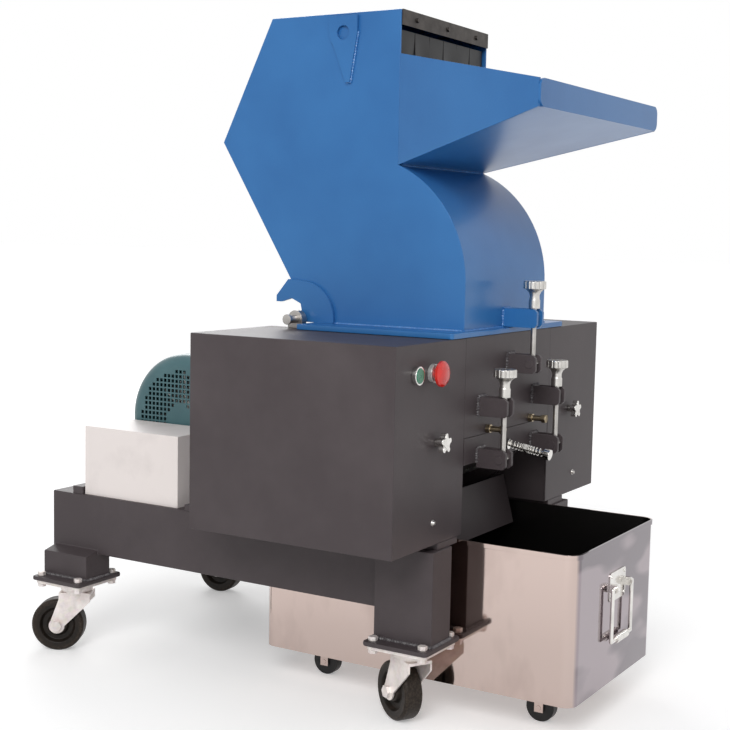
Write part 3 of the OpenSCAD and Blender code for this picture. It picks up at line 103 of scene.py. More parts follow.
class Sheet:
    def __init__(self, tree):
        self.tree = tree

    def add(self, kind, settings=None, sockets=None, out=0):
        made = self.tree.nodes.new(kind)
        for name, value in (settings or {}).items():
            if name == "stops":
                ramp = made.color_ramp.elements
                while len(ramp) < len(value):
                    ramp.new(0.5)
                for stop, (place, colour) in zip(ramp, value):
                    stop.position = place
                    stop.color = (*colour, 1.0)
            else:
                setattr(made, name, value)
        for name, value in (sockets or {}).items():
            if isinstance(value, Wire):
                self.tree.links.new(value.socket, made.inputs[name])
            elif value is not None:
                made.inputs[name].default_value = value
        return Wire(self, made.outputs[out])

    def place(self):
        return self.add("ShaderNodeTexCoord", out=3)

    def parts(self, vector):
        split = self.tree.nodes.new("ShaderNodeSeparateXYZ")
        self.tree.links.new(vector.socket, split.inputs[0])
        return [Wire(self, split.outputs[i]) for i in range(3)]

    def noise(self, scale, detail=3.0, roughness=0.5, where=None):
        return self.add("ShaderNodeTexNoise", {}, {"Vector": where or self.place(), "Scale": scale,
                                                   "Detail": detail, "Roughness": roughness})

    def stretched(self, sx, sy, sz):
        return self.add("ShaderNodeMapping", {}, {"Vector": self.place(), "Scale": (sx, sy, sz)})

    def mix(self, share, first, second, blend="MIX"):
        ends = [v if isinstance(v, Wire) else (*v, 1.0) for v in (first, second)]
        return self.add("ShaderNodeMix", {"data_type": "RGBA", "blend_type": blend},
                        {0: share, 6: ends[0], 7: ends[1]}, 2)

    def bump(self, height, strength, distance):
        return self.add("ShaderNodeBump", {}, {"Height": height, "Strength": strength, "Distance": distance})

    # how far a point lies from a shaft
    def fromShaft(self, centre, axis):
        away = self.vector("SUBTRACT", {0: self.place(), 1: tuple(centre)})
        along = self.vector("CROSS_PRODUCT", {0: away, 1: tuple(axis)})
        return self.vector("LENGTH", {0: along}, 1)

    def vector(self, operation, sockets, out=0):
        return self.add("ShaderNodeVectorMath", {"operation": operation}, sockets, out)


def finish(name, build, **fixed):
    material = bpy.data.materials.new(name)
    material.use_nodes = True
    tree = material.node_tree
    shader = next(n for n in tree.nodes if n.type == "BSDF_PRINCIPLED")
    sheet = Sheet(tree)
    for socket, value in fixed.items():
        shader.inputs[socket.replace("_", " ")].default_value = value
    for socket, value in build(sheet).items():
        if isinstance(value, Wire):
            tree.links.new(value.socket, shader.inputs[socket])
        else:
            shader.inputs[socket].default_value = value
    material.diffuse_color = shader.inputs["Base Color"].default_value
    return material


def surface(colour, roughness, normal):
    return {"Base Color": colour, "Roughness": roughness, "Normal": normal}


# Finishes
machinePaint = {"colour": (0.050, 0.039, 0.042), "dust": (0.070, 0.057, 0.060),
                "fleck": (0.105, 0.090, 0.092), "roughness": 0.42, "grain": 900.0}
hopperPaint = {"colour": (0.031, 0.158, 0.405), "deep": (0.022, 0.126, 0.345),
               "fleck": (0.12, 0.30, 0.58), "roughness": 0.27}
boxPaint = {"colour": (0.80, 0.735, 0.71), "smudge": (0.66, 0.60, 0.58)}
motorPaint = {"colour": (0.035, 0.105, 0.120), "faded": (0.055, 0.140, 0.155)}
# the bin's dark inner colour is painted shade, laid on its inside walls
binSteel = {"colour": (0.56, 0.450, 0.41), "streak": (0.42, 0.325, 0.295), "painted_inner_shade": (0.045, 0.042, 0.041),
            # the front face's darker colour is a painted reflection of dark surroundings, and the dark band over
            # it a painted reflection too
            "ahead": (0.35, 0.300, 0.320), "reflected_band": (0.19, 0.17, 0.185),
            "halfWidth": 0.180, "near": -0.210, "far": 0.390, "corner": 0.022, "wall": 0.0012,
            "floor": 0.0605, "lip": 0.004, "blend": 0.003}
tread = {"rubber": (0.009, 0.007, 0.005), "dust": (0.026, 0.018, 0.014), "face": (0.016, 0.011, 0.008),
         "scuff": (0.046, 0.034, 0.025), "hub": (0.045, 0.036, 0.030), "faceRadii": (0.0395, 0.0440),
         "hubRadii": (0.0160, 0.0185)}


def paintedSteel(sheet):
    cloud = sheet.noise(7.0, 4.0, 0.6)
    grain = sheet.noise(machinePaint["grain"], 2.0)
    peel = sheet.noise(260.0, 2.0)
    colour = sheet.mix(cloud.between(0.40, 0.72), machinePaint["colour"], machinePaint["dust"])
    colour = sheet.mix(grain.between(0.35, 0.75) * 0.30, colour, machinePaint["fleck"])
    roughness = cloud * 0.10 + machinePaint["roughness"]
    return surface(colour, roughness, sheet.bump(grain * 0.4 + peel, 0.16, 0.0006))


def bluePaint(sheet):
    cloud = sheet.noise(5.0, 3.0, 0.55)
    peel = sheet.noise(170.0, 2.0, 0.4)
    fine = sheet.noise(700.0, 1.0)
    colour = sheet.mix(cloud.between(0.35, 0.70), hopperPaint["colour"], hopperPaint["deep"])
    colour = sheet.mix(fine.between(0.55, 0.85) * 0.12, colour, hopperPaint["fleck"])
    roughness = cloud * 0.10 + hopperPaint["roughness"]
    return surface(colour, roughness, sheet.bump(peel + fine * 0.2, 0.12, 0.0006))


def whitePaint(sheet):
    cloud = sheet.noise(9.0, 4.0, 0.6)
    peel = sheet.noise(240.0, 2.0)
    colour = sheet.mix(cloud.between(0.52, 0.85), boxPaint["colour"], boxPaint["smudge"])
    return surface(colour, cloud * 0.12 + 0.38, sheet.bump(peel, 0.10, 0.0005))


def tealPaint(sheet):
    cloud = sheet.noise(12.0, 4.0, 0.6)
    peel = sheet.noise(320.0, 2.0)
    colour = sheet.mix(cloud.between(0.40, 0.75), motorPaint["colour"], motorPaint["faded"])
    return surface(colour, cloud * 0.12 + 0.34, sheet.bump(peel, 0.14, 0.0005))


def polishedSteel(sheet):
    x, y, z = sheet.parts(sheet.place())
    sway = sheet.noise(3.2, 2.0, 0.4)
    streak = sheet.noise(7.0, 4.0, 0.60, sheet.stretched(1.0, 1.0, 0.55))
    fine = sheet.noise(900.0, 2.0, 0.5, sheet.stretched(0.04, 0.04, 1.0))
    halfLength = (binSteel["far"] - binSteel["near"]) / 2
    middle = frontY + (binSteel["far"] + binSteel["near"]) / 2
    corner = binSteel["corner"]
    overX = (x.size() - (binSteel["halfWidth"] - corner)).maths("MAXIMUM", 0.0)
    overY = ((y - middle).size() - (halfLength - corner)).maths("MAXIMUM", 0.0)
    outward = (overX * overX + overY * overY).maths("SQRT")
    # inside the bin's walls, above its floor: there the steel is painted near-black as painted shade, and made
    # rougher
    inner = (outward < corner - binSteel["wall"]) * (z > binSteel["floor"])
    # the bin's front face is painted darker, with a painted reflection of a dark band across it
    reflected_band = sheet.noise(5.0, 2.0, 0.4, sheet.stretched(1.0, 1.0, 2.6))
    ahead = (frontY + binSteel["near"] + binSteel["lip"] - y).between(0.0, binSteel["blend"])
    painted_front_reflection = sheet.mix(reflected_band.between(0.50, 0.58) * 0.85, binSteel["ahead"], binSteel["reflected_band"])
    colour = sheet.mix(streak.between(0.45, 0.72), binSteel["colour"], binSteel["streak"])
    colour = sheet.mix(ahead, colour, painted_front_reflection)
    colour = sheet.mix(inner, colour, binSteel["painted_inner_shade"])
    rough = streak * 0.05 + 0.045 + inner * 0.30
    return surface(colour, rough, sheet.bump(sway + fine * 0.003, 0.30, 0.010))


def machinedSteel(sheet):
    cloud = sheet.noise(30.0, 4.0, 0.6)
    lines = sheet.noise(500.0, 2.0, 0.5, sheet.stretched(1.0, 1.0, 0.08))
    colour = sheet.mix(cloud.between(0.35, 0.75), (0.52, 0.50, 0.48), (0.36, 0.34, 0.32))
    return surface(colour, cloud * 0.18 + 0.26, sheet.bump(lines, 0.10, 0.0004))


def wornSteel(sheet):
    cloud = sheet.noise(38.0, 5.0, 0.65)
    lines = sheet.noise(400.0, 2.0, 0.5, sheet.stretched(0.06, 1.0, 1.0))
    colour = sheet.mix(cloud.between(0.30, 0.72), (0.080, 0.070, 0.064), (0.040, 0.035, 0.032))
    return surface(colour, cloud * 0.22 + 0.30, sheet.bump(lines, 0.12, 0.0004))


def castAlloy(sheet):
    cloud = sheet.noise(60.0, 4.0, 0.6)
    pits = sheet.noise(650.0, 2.0)
    colour = sheet.mix(cloud.between(0.35, 0.75), (0.66, 0.64, 0.61), (0.50, 0.485, 0.46))
    return surface(colour, cloud * 0.16 + 0.26, sheet.bump(pits, 0.14, 0.0004))


def zincPlate(sheet):
    spangle = sheet.add("ShaderNodeTexVoronoi", {}, {"Vector": sheet.place(), "Scale": 120.0}, 1)
    cloud = sheet.noise(28.0, 5.0, 0.65)
    colour = sheet.mix(cloud.between(0.35, 0.72), (0.92, 0.85, 0.82), (0.62, 0.56, 0.53))
    colour = sheet.mix(0.06, colour, spangle, "OVERLAY")
    return surface(colour, cloud * 0.25 + 0.28, sheet.bump(cloud, 0.12, 0.0008))


def brightPlate(sheet):
    cloud = sheet.noise(40.0, 3.0, 0.5)
    colour = sheet.mix(cloud.between(0.35, 0.8), (0.78, 0.76, 0.73), (0.60, 0.58, 0.55))
    return surface(colour, cloud * 0.12 + 0.08, sheet.bump(cloud, 0.06, 0.0006))


def cutterSteel(sheet):
    cloud = sheet.noise(34.0, 4.0, 0.6)
    y = sheet.parts(sheet.place())[1]
    brassy = y < at(0, -0.5, 0).y  # the adjusting bolts, which stand out ahead of the front face
    colour = sheet.mix(cloud.between(0.35, 0.75), (0.50, 0.48, 0.46), (0.36, 0.34, 0.33))
    colour = sheet.mix(brassy, colour, (0.44, 0.36, 0.24))
    return surface(colour, cloud * 0.18 + 0.24, sheet.bump(cloud, 0.10, 0.0004))


def darkCasting(sheet):
    cloud = sheet.noise(25.0, 4.0, 0.6)
    sand = sheet.noise(420.0, 3.0)
    colour = sheet.mix(cloud.between(0.35, 0.75), (0.075, 0.075, 0.078), (0.11, 0.105, 0.10))
    return surface(colour, cloud * 0.15 + 0.48, sheet.bump(sand, 0.30, 0.0007))


def blackRubber(sheet):
    cloud = sheet.noise(18.0, 5.0, 0.6)
    grain = sheet.noise(500.0, 2.0)
    colour = sheet.mix(cloud.between(0.50, 0.82), (0.008, 0.008, 0.009), (0.030, 0.028, 0.027))
    return surface(colour, cloud * 0.25 + 0.28, sheet.bump(grain * 0.3 + cloud, 0.12, 0.0010))


def greenPlastic(sheet):
    cloud = sheet.noise(160.0, 2.0)
    colour = sheet.mix(cloud.between(0.4, 0.8), (0.008, 0.165, 0.085), (0.012, 0.200, 0.105))
    return surface(colour, cloud * 0.08 + 0.24, sheet.bump(cloud, 0.05, 0.0003))


def redPlastic(sheet):
    cloud = sheet.noise(120.0, 2.0)
    colour = sheet.mix(cloud.between(0.4, 0.8), (0.62, 0.020, 0.014), (0.52, 0.016, 0.012))
    return surface(colour, cloud * 0.08 + 0.22, sheet.bump(cloud, 0.05, 0.0003))


def collarMetal(sheet):
    x, y = sheet.parts(sheet.place())[:2]
    pale = (x > at(-306, 0, 0).x) * (y < at(0, -1.0, 0).y)
    cloud = sheet.noise(60.0, 3.0)
    colour = sheet.mix(cloud.between(0.35, 0.8), (0.76, 0.75, 0.73), (0.60, 0.59, 0.57))
    return {"Base Color": colour, "Roughness": cloud * 0.12 + 0.14, "Metallic": 1.0 - pale * 0.35}


def weldMetal(base, bright):
    def build(sheet):
        cloud = sheet.noise(300.0, 3.0)
        colour = sheet.mix(cloud.between(0.45, 0.75), base, bright)
        return surface(colour, cloud * 0.2 + 0.30, sheet.bump(cloud, 0.30, 0.0006))
    return build


def treadFor(joint):
    centre, axis = joint["pos_m"], joint["axis"]

    def build(sheet):
        away = sheet.fromShaft(centre, axis)
        dust = sheet.noise(45.0, 5.0, 0.65)
        scuff = sheet.noise(240.0, 3.0, 0.6)
        face = away.between(*tread["faceRadii"])
        hub = 1.0 - away.between(*tread["hubRadii"])
        colour = sheet.mix(dust.between(0.40, 0.75), tread["rubber"], tread["dust"])
        worn = sheet.mix(scuff.between(0.42, 0.70), tread["face"], tread["scuff"])
        colour = sheet.mix(face, colour, worn)
        colour = sheet.mix(hub, colour, tread["hub"])
        return surface(colour, dust * 0.3 + 0.32, sheet.bump(scuff * 0.5 + dust, 0.22, 0.0012))
    return build


print("finishes next")
look = {
    "dark": finish("dark_machine_paint", paintedSteel, Specular_IOR_Level=0.28),
    "blue": finish("blue_hopper_paint", bluePaint, Specular_IOR_Level=0.30, Coat_Weight=0.10,
                   Coat_Roughness=0.12),
    "white": finish("white_box_paint", whitePaint),
    "teal": finish("teal_motor_paint", tealPaint, Coat_Weight=0.2, Coat_Roughness=0.2),
    "bin": finish("polished_bin_steel", polishedSteel, Metallic=1.0),
    "steel": finish("machined_steel", machinedSteel, Metallic=1.0),
    "cutter": finish("cutter_steel", cutterSteel, Metallic=1.0),
    "worn": finish("worn_strip_steel", wornSteel, Metallic=0.9),
    "alloy": finish("cast_alloy", castAlloy, Metallic=1.0),
    "zinc": finish("zinc_plate", zincPlate, Metallic=0.35),
    "bright": finish("bright_plate", brightPlate, Metallic=1.0),
    "casting": finish("dark_casting", darkCasting),
    "rubber": finish("black_rubber", blackRubber, Specular_IOR_Level=0.35),
    "green": finish("green_button_plastic", greenPlastic, Coat_Weight=0.3),
    "red": finish("red_button_plastic", redPlastic, Coat_Weight=0.4),
    "collar": finish("button_collar_metal", collarMetal),
    "blueWeld": finish("painted_weld_blue", weldMetal((0.018, 0.130, 0.380), (0.10, 0.28, 0.58)),
                       Coat_Weight=0.3),
    "darkWeld": finish("painted_weld_dark", weldMetal((0.070, 0.062, 0.066), (0.16, 0.15, 0.155))),
}
wheelJoints = {j["child"]: j for j in frame["joints"] if j["name"].startswith("roll_")}
for wheelName, joint in wheelJoints.items():
    look[wheelName] = finish("tread_" + wheelName[6:], treadFor(joint), Specular_IOR_Level=0.22)

nodeLooks = {
    "dark": ["frame_left", "frame_right", "cross_beams", "bed_plate", "front_wall", "rear_wall", "left_cover",
             "right_cover", "clamp_lugs", "cradle", "chute", "motor_plate", "chamber_left", "chamber_right"],
    "blue": ["hopper_shell", "feed_tray", "hopper_lugs"],
    "teal": ["motor_body", "motor_cowl", "cowl_grille"],
    "white": ["control_box"],
    "bin": ["bin"],
    "steel": ["hinge_pins", "rotor_shaft", "rotor", "rotor_blades", "screen", "top_bolt", "left_bolt",
              "right_bolt", "motor_rotor"],
    "worn": ["curtain_strip"],
    "cutter": ["fixed_blades"],
    "alloy": ["top_knob", "left_knob", "right_knob"],
    "zinc": ["caster_plates", "fork_front_left", "fork_front_right", "fork_rear_left", "fork_rear_right"],
    "bright": ["star_knob_left", "star_knob_right", "spring_rod", "spring", "bin_handle", "bin_bail"],
    "casting": ["bearings", "rotor_wheels"],
    "rubber": ["v_belts", "curtain_flaps", "bin_wheels_front", "bin_wheels_rear"],
    "green": ["green_button"],
    "red": ["red_button"],
    "collar": ["button_collars"],
}
for wheelName in wheelJoints:
    nodeLooks[wheelName] = [wheelName]
lookOf = {node: key for key, members in nodeLooks.items() for node in members}
bodies = frame["record"]["behaviour"]["bodies"]
bodyOf = {node: body for body, members in bodies.items() for node in members}


def wear(piece, material):
    piece.data.materials.clear()
    piece.data.materials.append(material)


for node, key in lookOf.items():
    wear(nodes[node], look[key])
print("finishes on", len(lookOf), "of", len(nodes), "nodes")


def newPiece(name, mesh, material):
    piece = bpy.data.objects.new(name, mesh)
    scene.collection.objects.link(piece)
    wear(piece, material)
    return piece


# a piece's mesh with its modifiers worked in
def settled(piece):
    bpy.context.view_layer.update()
    done = bpy.data.meshes.new_from_object(piece.evaluated_get(bpy.context.evaluated_depsgraph_get()))
    piece.modifiers.clear()
    return done


def shadeSmooth(mesh, angle):
    mesh.polygons.foreach_set("use_smooth", [True] * len(mesh.polygons))
    mesh.set_sharp_from_angle(angle=math.radians(angle))


ease = {"merge": 0.00002, "flatAngle": 0.8, "mostPast": 0.0002, "sharpAngle": 38, "evenWeight": 60}


# A copy of a CAD node whose sharp edges are eased and whose curves are shaded smooth
def eased(node, width, segments=2, angle=35):
    mesh = nodes[node].data.copy()
    shape = bmesh.new()
    shape.from_mesh(mesh)
    bmesh.ops.remove_doubles(shape, verts=shape.verts, dist=ease["merge"])
    bmesh.ops.dissolve_limit(shape, angle_limit=math.radians(ease["flatAngle"]), verts=shape.verts,
                             edges=shape.edges)
    shape.to_mesh(mesh)
    shape.free()
    piece = newPiece(node + "_eased", mesh, look[lookOf[node]])
    if "custom_normal" in mesh.attributes:
        mesh.attributes.remove(mesh.attributes["custom_normal"])
    low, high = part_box(node)
    # the wider ease first, then the careful one where the first would stick out
    for clamped in (False, True) if width else ():
        bevel = piece.modifiers.new("edges", "BEVEL")
        bevel.width = width
        bevel.segments = segments
        bevel.limit_method = "ANGLE"
        bevel.angle_limit = math.radians(angle)
        bevel.use_clamp_overlap = clamped
        done = settled(piece)
        out = max(max(low[i] - v.co[i], v.co[i] - high[i]) for v in done.vertices for i in range(3))
        if out < ease["mostPast"]:
            piece.data = done
            break
        print(node, "ease", "careful" if clamped else "wide", "stands out by", round(out * 1000, 2), "mm")
    shadeSmooth(piece.data, ease["sharpAngle"])
    if width:  # large flats keep their own shading beside the eased edges
        even = piece.modifiers.new("even", "WEIGHTED_NORMAL")
        even.keep_sharp = True
        even.weight = ease["evenWeight"]
        piece.data = settled(piece)
    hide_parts(node)
    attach(piece, bodyOf[node])
    return piece


edgeEase = {
    "left_cover": 0.0014, "right_cover": 0.0014, "frame_left": 0.0022, "frame_right": 0.0022,
    "hopper_shell": 0.0018, "feed_tray": 0.0014, "hopper_lugs": 0.0012, "control_box": 0.0015,
    "motor_cowl": 0.0, "bin": 0.0005, "clamp_lugs": 0.0008, "cradle": 0.0008, "top_knob": 0.0006,
    "left_knob": 0.0006, "right_knob": 0.0006, "top_bolt": 0.0, "left_bolt": 0.0, "right_bolt": 0.0,
    "star_knob_left": 0.0008, "star_knob_right": 0.0008, "green_button": 0.0008, "red_button": 0.0,
    "button_collars": 0.0008, "bin_handle": 0.0004, "bin_bail": 0.0, "spring": 0.0, "spring_rod": 0.0005,
    "curtain_strip": 0.0005, "front_wall": 0.0006, "fixed_blades": 0.0006, "motor_body": 0.0,
    "cowl_grille": 0.0, "caster_plates": 0.0006, "bin_wheels_front": 0.0012, "bin_wheels_rear": 0.0012,
    "chute": 0.0005, "bed_plate": 0.0008, "motor_rotor": 0.0, "hinge_pins": 0.0006, "rotor": 0.0,
    "rotor_shaft": 0.0, "rotor_wheels": 0.0,
}
for place in ("front_left", "front_right", "rear_left", "rear_right"):
    edgeEase["fork_" + place] = 0.0006
    edgeEase["wheel_" + place] = 0.0015
for node, width in edgeEase.items():
    eased(node, width)
print("edges eased on", len(edgeEase), "pieces")


# What repeats is grown by node trees, then kept as plain meshes
def newTree(name, inputs):
    tree = bpy.data.node_groups.new(name, "GeometryNodeTree")
    tree.interface.new_socket("Geometry", in_out="INPUT", socket_type="NodeSocketGeometry")
    tree.interface.new_socket("Geometry", in_out="OUTPUT", socket_type="NodeSocketGeometry")
    for label, kind, value in inputs:
        made = tree.interface.new_socket(label, in_out="INPUT", socket_type="NodeSocket" + kind)
        made.default_value = value
    entry = tree.nodes.new("NodeGroupInput")
    sheet = Sheet(tree)
    return sheet, {s.name: Wire(sheet, s) for s in entry.outputs if s.name}


def endTree(sheet, geometry, material):
    real = sheet.add("GeometryNodeRealizeInstances", {}, {0: geometry})
    done = sheet.add("GeometryNodeSetMaterial", {}, {"Geometry": real, "Material": material})
    out = sheet.tree.nodes.new("NodeGroupOutput")
    sheet.tree.links.new(done.socket, out.inputs[0])
    return sheet.tree


def grown(name, mesh, tree, values, material, body):
    piece = newPiece(name, mesh, material)
    modifier = piece.modifiers.new("grow", "NODES")
    modifier.node_group = tree
    for item in tree.interface.items_tree:
        if item.in_out == "INPUT" and item.name in values:
            modifier[item.identifier] = values[item.name]
    piece.data = settled(piece)
    wear(piece, material)
    shadeSmooth(piece.data, 40)
    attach(piece, body)
    return piece


# a screw or bolt head on each point, standing the way the point faces
def headTree(material):
    sheet, given = newTree("screw_heads", [
        ("Radius", "Float", 0.004), ("Height", "Float", 0.003), ("Sides", "Int", 24), ("Crown", "Float", 0.7),
        ("Washer", "Float", 1.3)])
    radius, height = given["Radius"], given["Height"]
    head = sheet.add("GeometryNodeMeshCone", {}, {
        "Vertices": given["Sides"], "Radius Top": radius * given["Crown"], "Radius Bottom": radius,
        "Depth": height})
    washer = sheet.add("GeometryNodeMeshCone", {}, {
        "Vertices": 28, "Radius Top": radius * given["Washer"] * 0.94,
        "Radius Bottom": radius * given["Washer"], "Depth": height * 0.28})
    lift = sheet.add("ShaderNodeCombineXYZ", {}, {2: height * 0.25})
    lifted = sheet.add("GeometryNodeTransform", {}, {"Geometry": head, "Translation": lift})
    join = sheet.tree.nodes.new("GeometryNodeJoinGeometry")
    sheet.tree.links.new(washer.socket, join.inputs[0])
    sheet.tree.links.new(lifted.socket, join.inputs[0])
    facing = sheet.add("GeometryNodeInputNamedAttribute", {"data_type": "FLOAT_VECTOR"}, {"Name": "facing"})
    turn = sheet.add("FunctionNodeAlignRotationToVector", {"axis": "Z"}, {"Vector": facing})
    points = sheet.add("GeometryNodeMeshToPoints", {}, {"Mesh": given["Geometry"], "Radius": 0.001})
    spread = sheet.add("GeometryNodeInstanceOnPoints", {}, {
        "Points": points, "Instance": Wire(sheet, join.outputs[0]), "Rotation": turn})
    return endTree(sheet, spread, material)


# a weld bead along a path, with its ripples
def beadTree(material):
    sheet, given = newTree("weld_beads", [
        ("Radius", "Float", 0.003), ("Step", "Float", 0.0014), ("Ripple", "Float", 0.35),
        ("Seed", "Float", 3.0)])
    curve = sheet.add("GeometryNodeMeshToCurve", {}, {"Mesh": given["Geometry"]})
    fine = sheet.add("GeometryNodeResampleCurve", {"mode": "LENGTH"},
                     {"Curve": curve, "Length": given["Step"]})
    index = sheet.add("GeometryNodeInputIndex")
    wave = (index * 1.9 + given["Seed"]).maths("SINE")
    rough = sheet.add("ShaderNodeTexNoise", {"noise_dimensions": "3D"}, {"Scale": 160.0, "Detail": 2.0})
    width = given["Radius"] * (1.0 + given["Ripple"] * (wave * 0.35 + rough - 0.5))
    ring = sheet.add("GeometryNodeCurvePrimitiveCircle", {}, {"Resolution": 8, "Radius": 1.0})
    tube = sheet.add("GeometryNodeCurveToMesh", {}, {
        "Curve": fine, "Profile Curve": ring, "Scale": width, "Fill Caps": True})
    return endTree(sheet, tube, material)


def pointsMesh(name, rows):
    mesh = bpy.data.meshes.new(name)
    mesh.from_pydata([at(*place) for place, way in rows], [], [])
    facing = mesh.attributes.new("facing", "FLOAT_VECTOR", "POINT")
    facing.data.foreach_set("vector", [c for place, way in rows for c in way])
    return mesh


def pathsMesh(name, paths):
    mesh = bpy.data.meshes.new(name)
    places, lines = [], []
    for path in paths:
        start = len(places)
        places += [at(*p) for p in path]
        lines += [(start + i, start + i + 1) for i in range(len(path) - 1)]
    mesh.from_pydata(places, lines, [])
    return mesh


ahead, behind, rightward = (0, -1, 0), (0, 1, 0), (1, 0, 0)
steelHeads = headTree(look["steel"])


def heads(name, rows, sizes, material, body):
    grown(name, pointsMesh(name, rows), steelHeads, sizes, look[material], body)


coverScrews = {"radius": 0.0042, "height": 0.0034, "crown": 0.72, "rear": 389, "low": 350, "high": 600,
               "inner": 230, "outer": 380, "frontLeft": (-271, 0, 351), "frontRight": (297, 0, 352)}
placed = [(coverScrews["frontLeft"], ahead), (coverScrews["frontRight"], ahead)]
for x in (-coverScrews["outer"], -coverScrews["inner"], coverScrews["outer"], coverScrews["inner"]):
    for z in (coverScrews["low"], coverScrews["high"]):
        if (x, z) != (coverScrews["inner"], coverScrews["low"]):  # the belt guard leaves no room for this one
            placed.append(((x, coverScrews["rear"], z), behind))
heads("cover_screws", placed, {"Radius": coverScrews["radius"], "Height": coverScrews["height"],
                               "Crown": coverScrews["crown"]}, "steel", "frame")

guardScrews = {"radius": 0.0048, "height": 0.0036, "crown": 0.72, "face": 327, "holes": [
    (405, 563), (515, 532), (620, 501), (405, 363), (515, 374), (620, 385), (692, 441)]}
heads("guard_screws", [((guardScrews["face"], y, z), rightward) for y, z in guardScrews["holes"]],
      {"Radius": guardScrews["radius"], "Height": guardScrews["height"], "Crown": guardScrews["crown"]},
      "steel", "frame")

binRivets = {"radius": 0.0026, "height": 0.0018, "crown": 0.55, "washer": 1.0, "front": -212, "beside": 29,
             "heights": (208, 244)}
heads("bin_rivets", [((x, binRivets["front"], z), ahead) for x in (-binRivets["beside"], binRivets["beside"])
                     for z in binRivets["heights"]],
      {"Radius": binRivets["radius"], "Height": binRivets["height"], "Crown": binRivets["crown"],
       "Washer": binRivets["washer"]}, "bright", "bin")

cowl = {"radius": 0.0040, "height": 0.0030, "crown": 0.75, "x": -30, "shaft": (638, 441), "out": 127,
        "turns": (35, 145, 215, 325)}
placed = []
for turn in cowl["turns"]:
    ny, nz = math.cos(math.radians(turn)), math.sin(math.radians(turn))
    spot = (cowl["x"], cowl["shaft"][0] + cowl["out"] * ny, cowl["shaft"][1] + cowl["out"] * nz)
    placed.append((spot, (0, ny, nz)))
heads("cowl_screws", placed, {"Radius": cowl["radius"], "Height": cowl["height"], "Crown": cowl["crown"]},
      "steel", "frame")
print("screws and rivets placed")

beads = {"hopper": 0.0026, "foot": 0.0034, "lug": 0.0030, "lugOuter": 15.0, "lugInFront": 0.5}


def ringAround(x, y, z, w, d):
    return [(x - w, y - d, z), (x + w, y - d, z), (x + w, y + d, z), (x - w, y + d, z), (x - w, y - d, z)]


def lugFoot(x, low, high, y):
    left, right = x - beads["lugOuter"], x + beads["lugOuter"]
    return [[(left, y, low), (left, y, high)], [(right, y, low), (right, y, high)],
            [(left, y, high), (right, y, high)]]


beadTrees = {key: beadTree(look[key]) for key in ("blueWeld", "darkWeld")}


def weld(name, paths, key, kind, body, slot, **more):
    sizes = {"Radius": beads[kind], **more}
    grown(name, pathsMesh(name, paths), beadTrees[key], sizes, look[key], body)


# the hopper's foot, its seam above the belly, its two lifting lugs and its clamp lug
hopperWeld = {"half": 160.5, "front": 10, "corner": 12, "rear": 304, "foot": 650,
              "seam": [(-150, 141, 921), (150, 141, 921)], "liftX": 161,
              "lift": [(224, 1146), (238, 1062), (246, 1062), (280, 1146)], "lug": (652, 682, 9.5)}
half, foot = hopperWeld["half"], hopperWeld["foot"]
paths = [[(-half, y, foot), (half, y, foot)] for y in (hopperWeld["front"], hopperWeld["rear"])]
paths.append(hopperWeld["seam"])
for side in (-1, 1):
    paths.append([(side * half, hopperWeld["corner"], foot), (side * half, hopperWeld["rear"], foot)])
    paths.append([(side * hopperWeld["liftX"], y, z) for y, z in hopperWeld["lift"]])
paths += lugFoot(0, *hopperWeld["lug"])
weld("hopper_welds", paths, "blueWeld", "hopper", "hopper", "hopper_paint", Ripple=0.5)

footWeld = {"top": 147.5, "acrossHalf": 33, "alongHalf": 54.5, "front": (241, 50), "rear": (251, 780)}
paths = []
for x, y in (footWeld["front"], footWeld["rear"]):
    for side in (-1, 1):
        paths.append(ringAround(side * x, y, footWeld["top"], footWeld["acrossHalf"], footWeld["alongHalf"]))
weld("foot_welds", paths, "darkWeld", "foot", "frame", "dark_paint", Ripple=0.7, Seed=1.0)

lugWeld = {"beside": 108, "top": (572, 604), "upper": (507, 539), "lower": (428, 452)}
face = -beads["lugInFront"]
paths = lugFoot(0, *lugWeld["top"], face)
for side in (-1, 1):
    paths += lugFoot(side * lugWeld["beside"], *lugWeld["upper"], face)
weld("lug_welds", paths, "darkWeld", "lug", "frame", "dark_paint", Ripple=0.9, Seed=2.0)
paths = []
for side in (-1, 1):
    paths += lugFoot(side * lugWeld["beside"], *lugWeld["lower"], face)
weld("cradle_welds", paths, "darkWeld", "lug", "cradle", "dark_paint", Ripple=0.9, Seed=5.0)
print("weld beads laid")


# The rubber strips behind the mouth, each curled a little its own way
flaps = {"count": 6, "top": 1146.0, "length": 188.0, "half": 152.5, "thickness": 2.2, "curl": 1.5,
         "depth": 149.3, "gapShare": 0.012, "columns": 8, "rows": 26, "sharpAngle": 50}


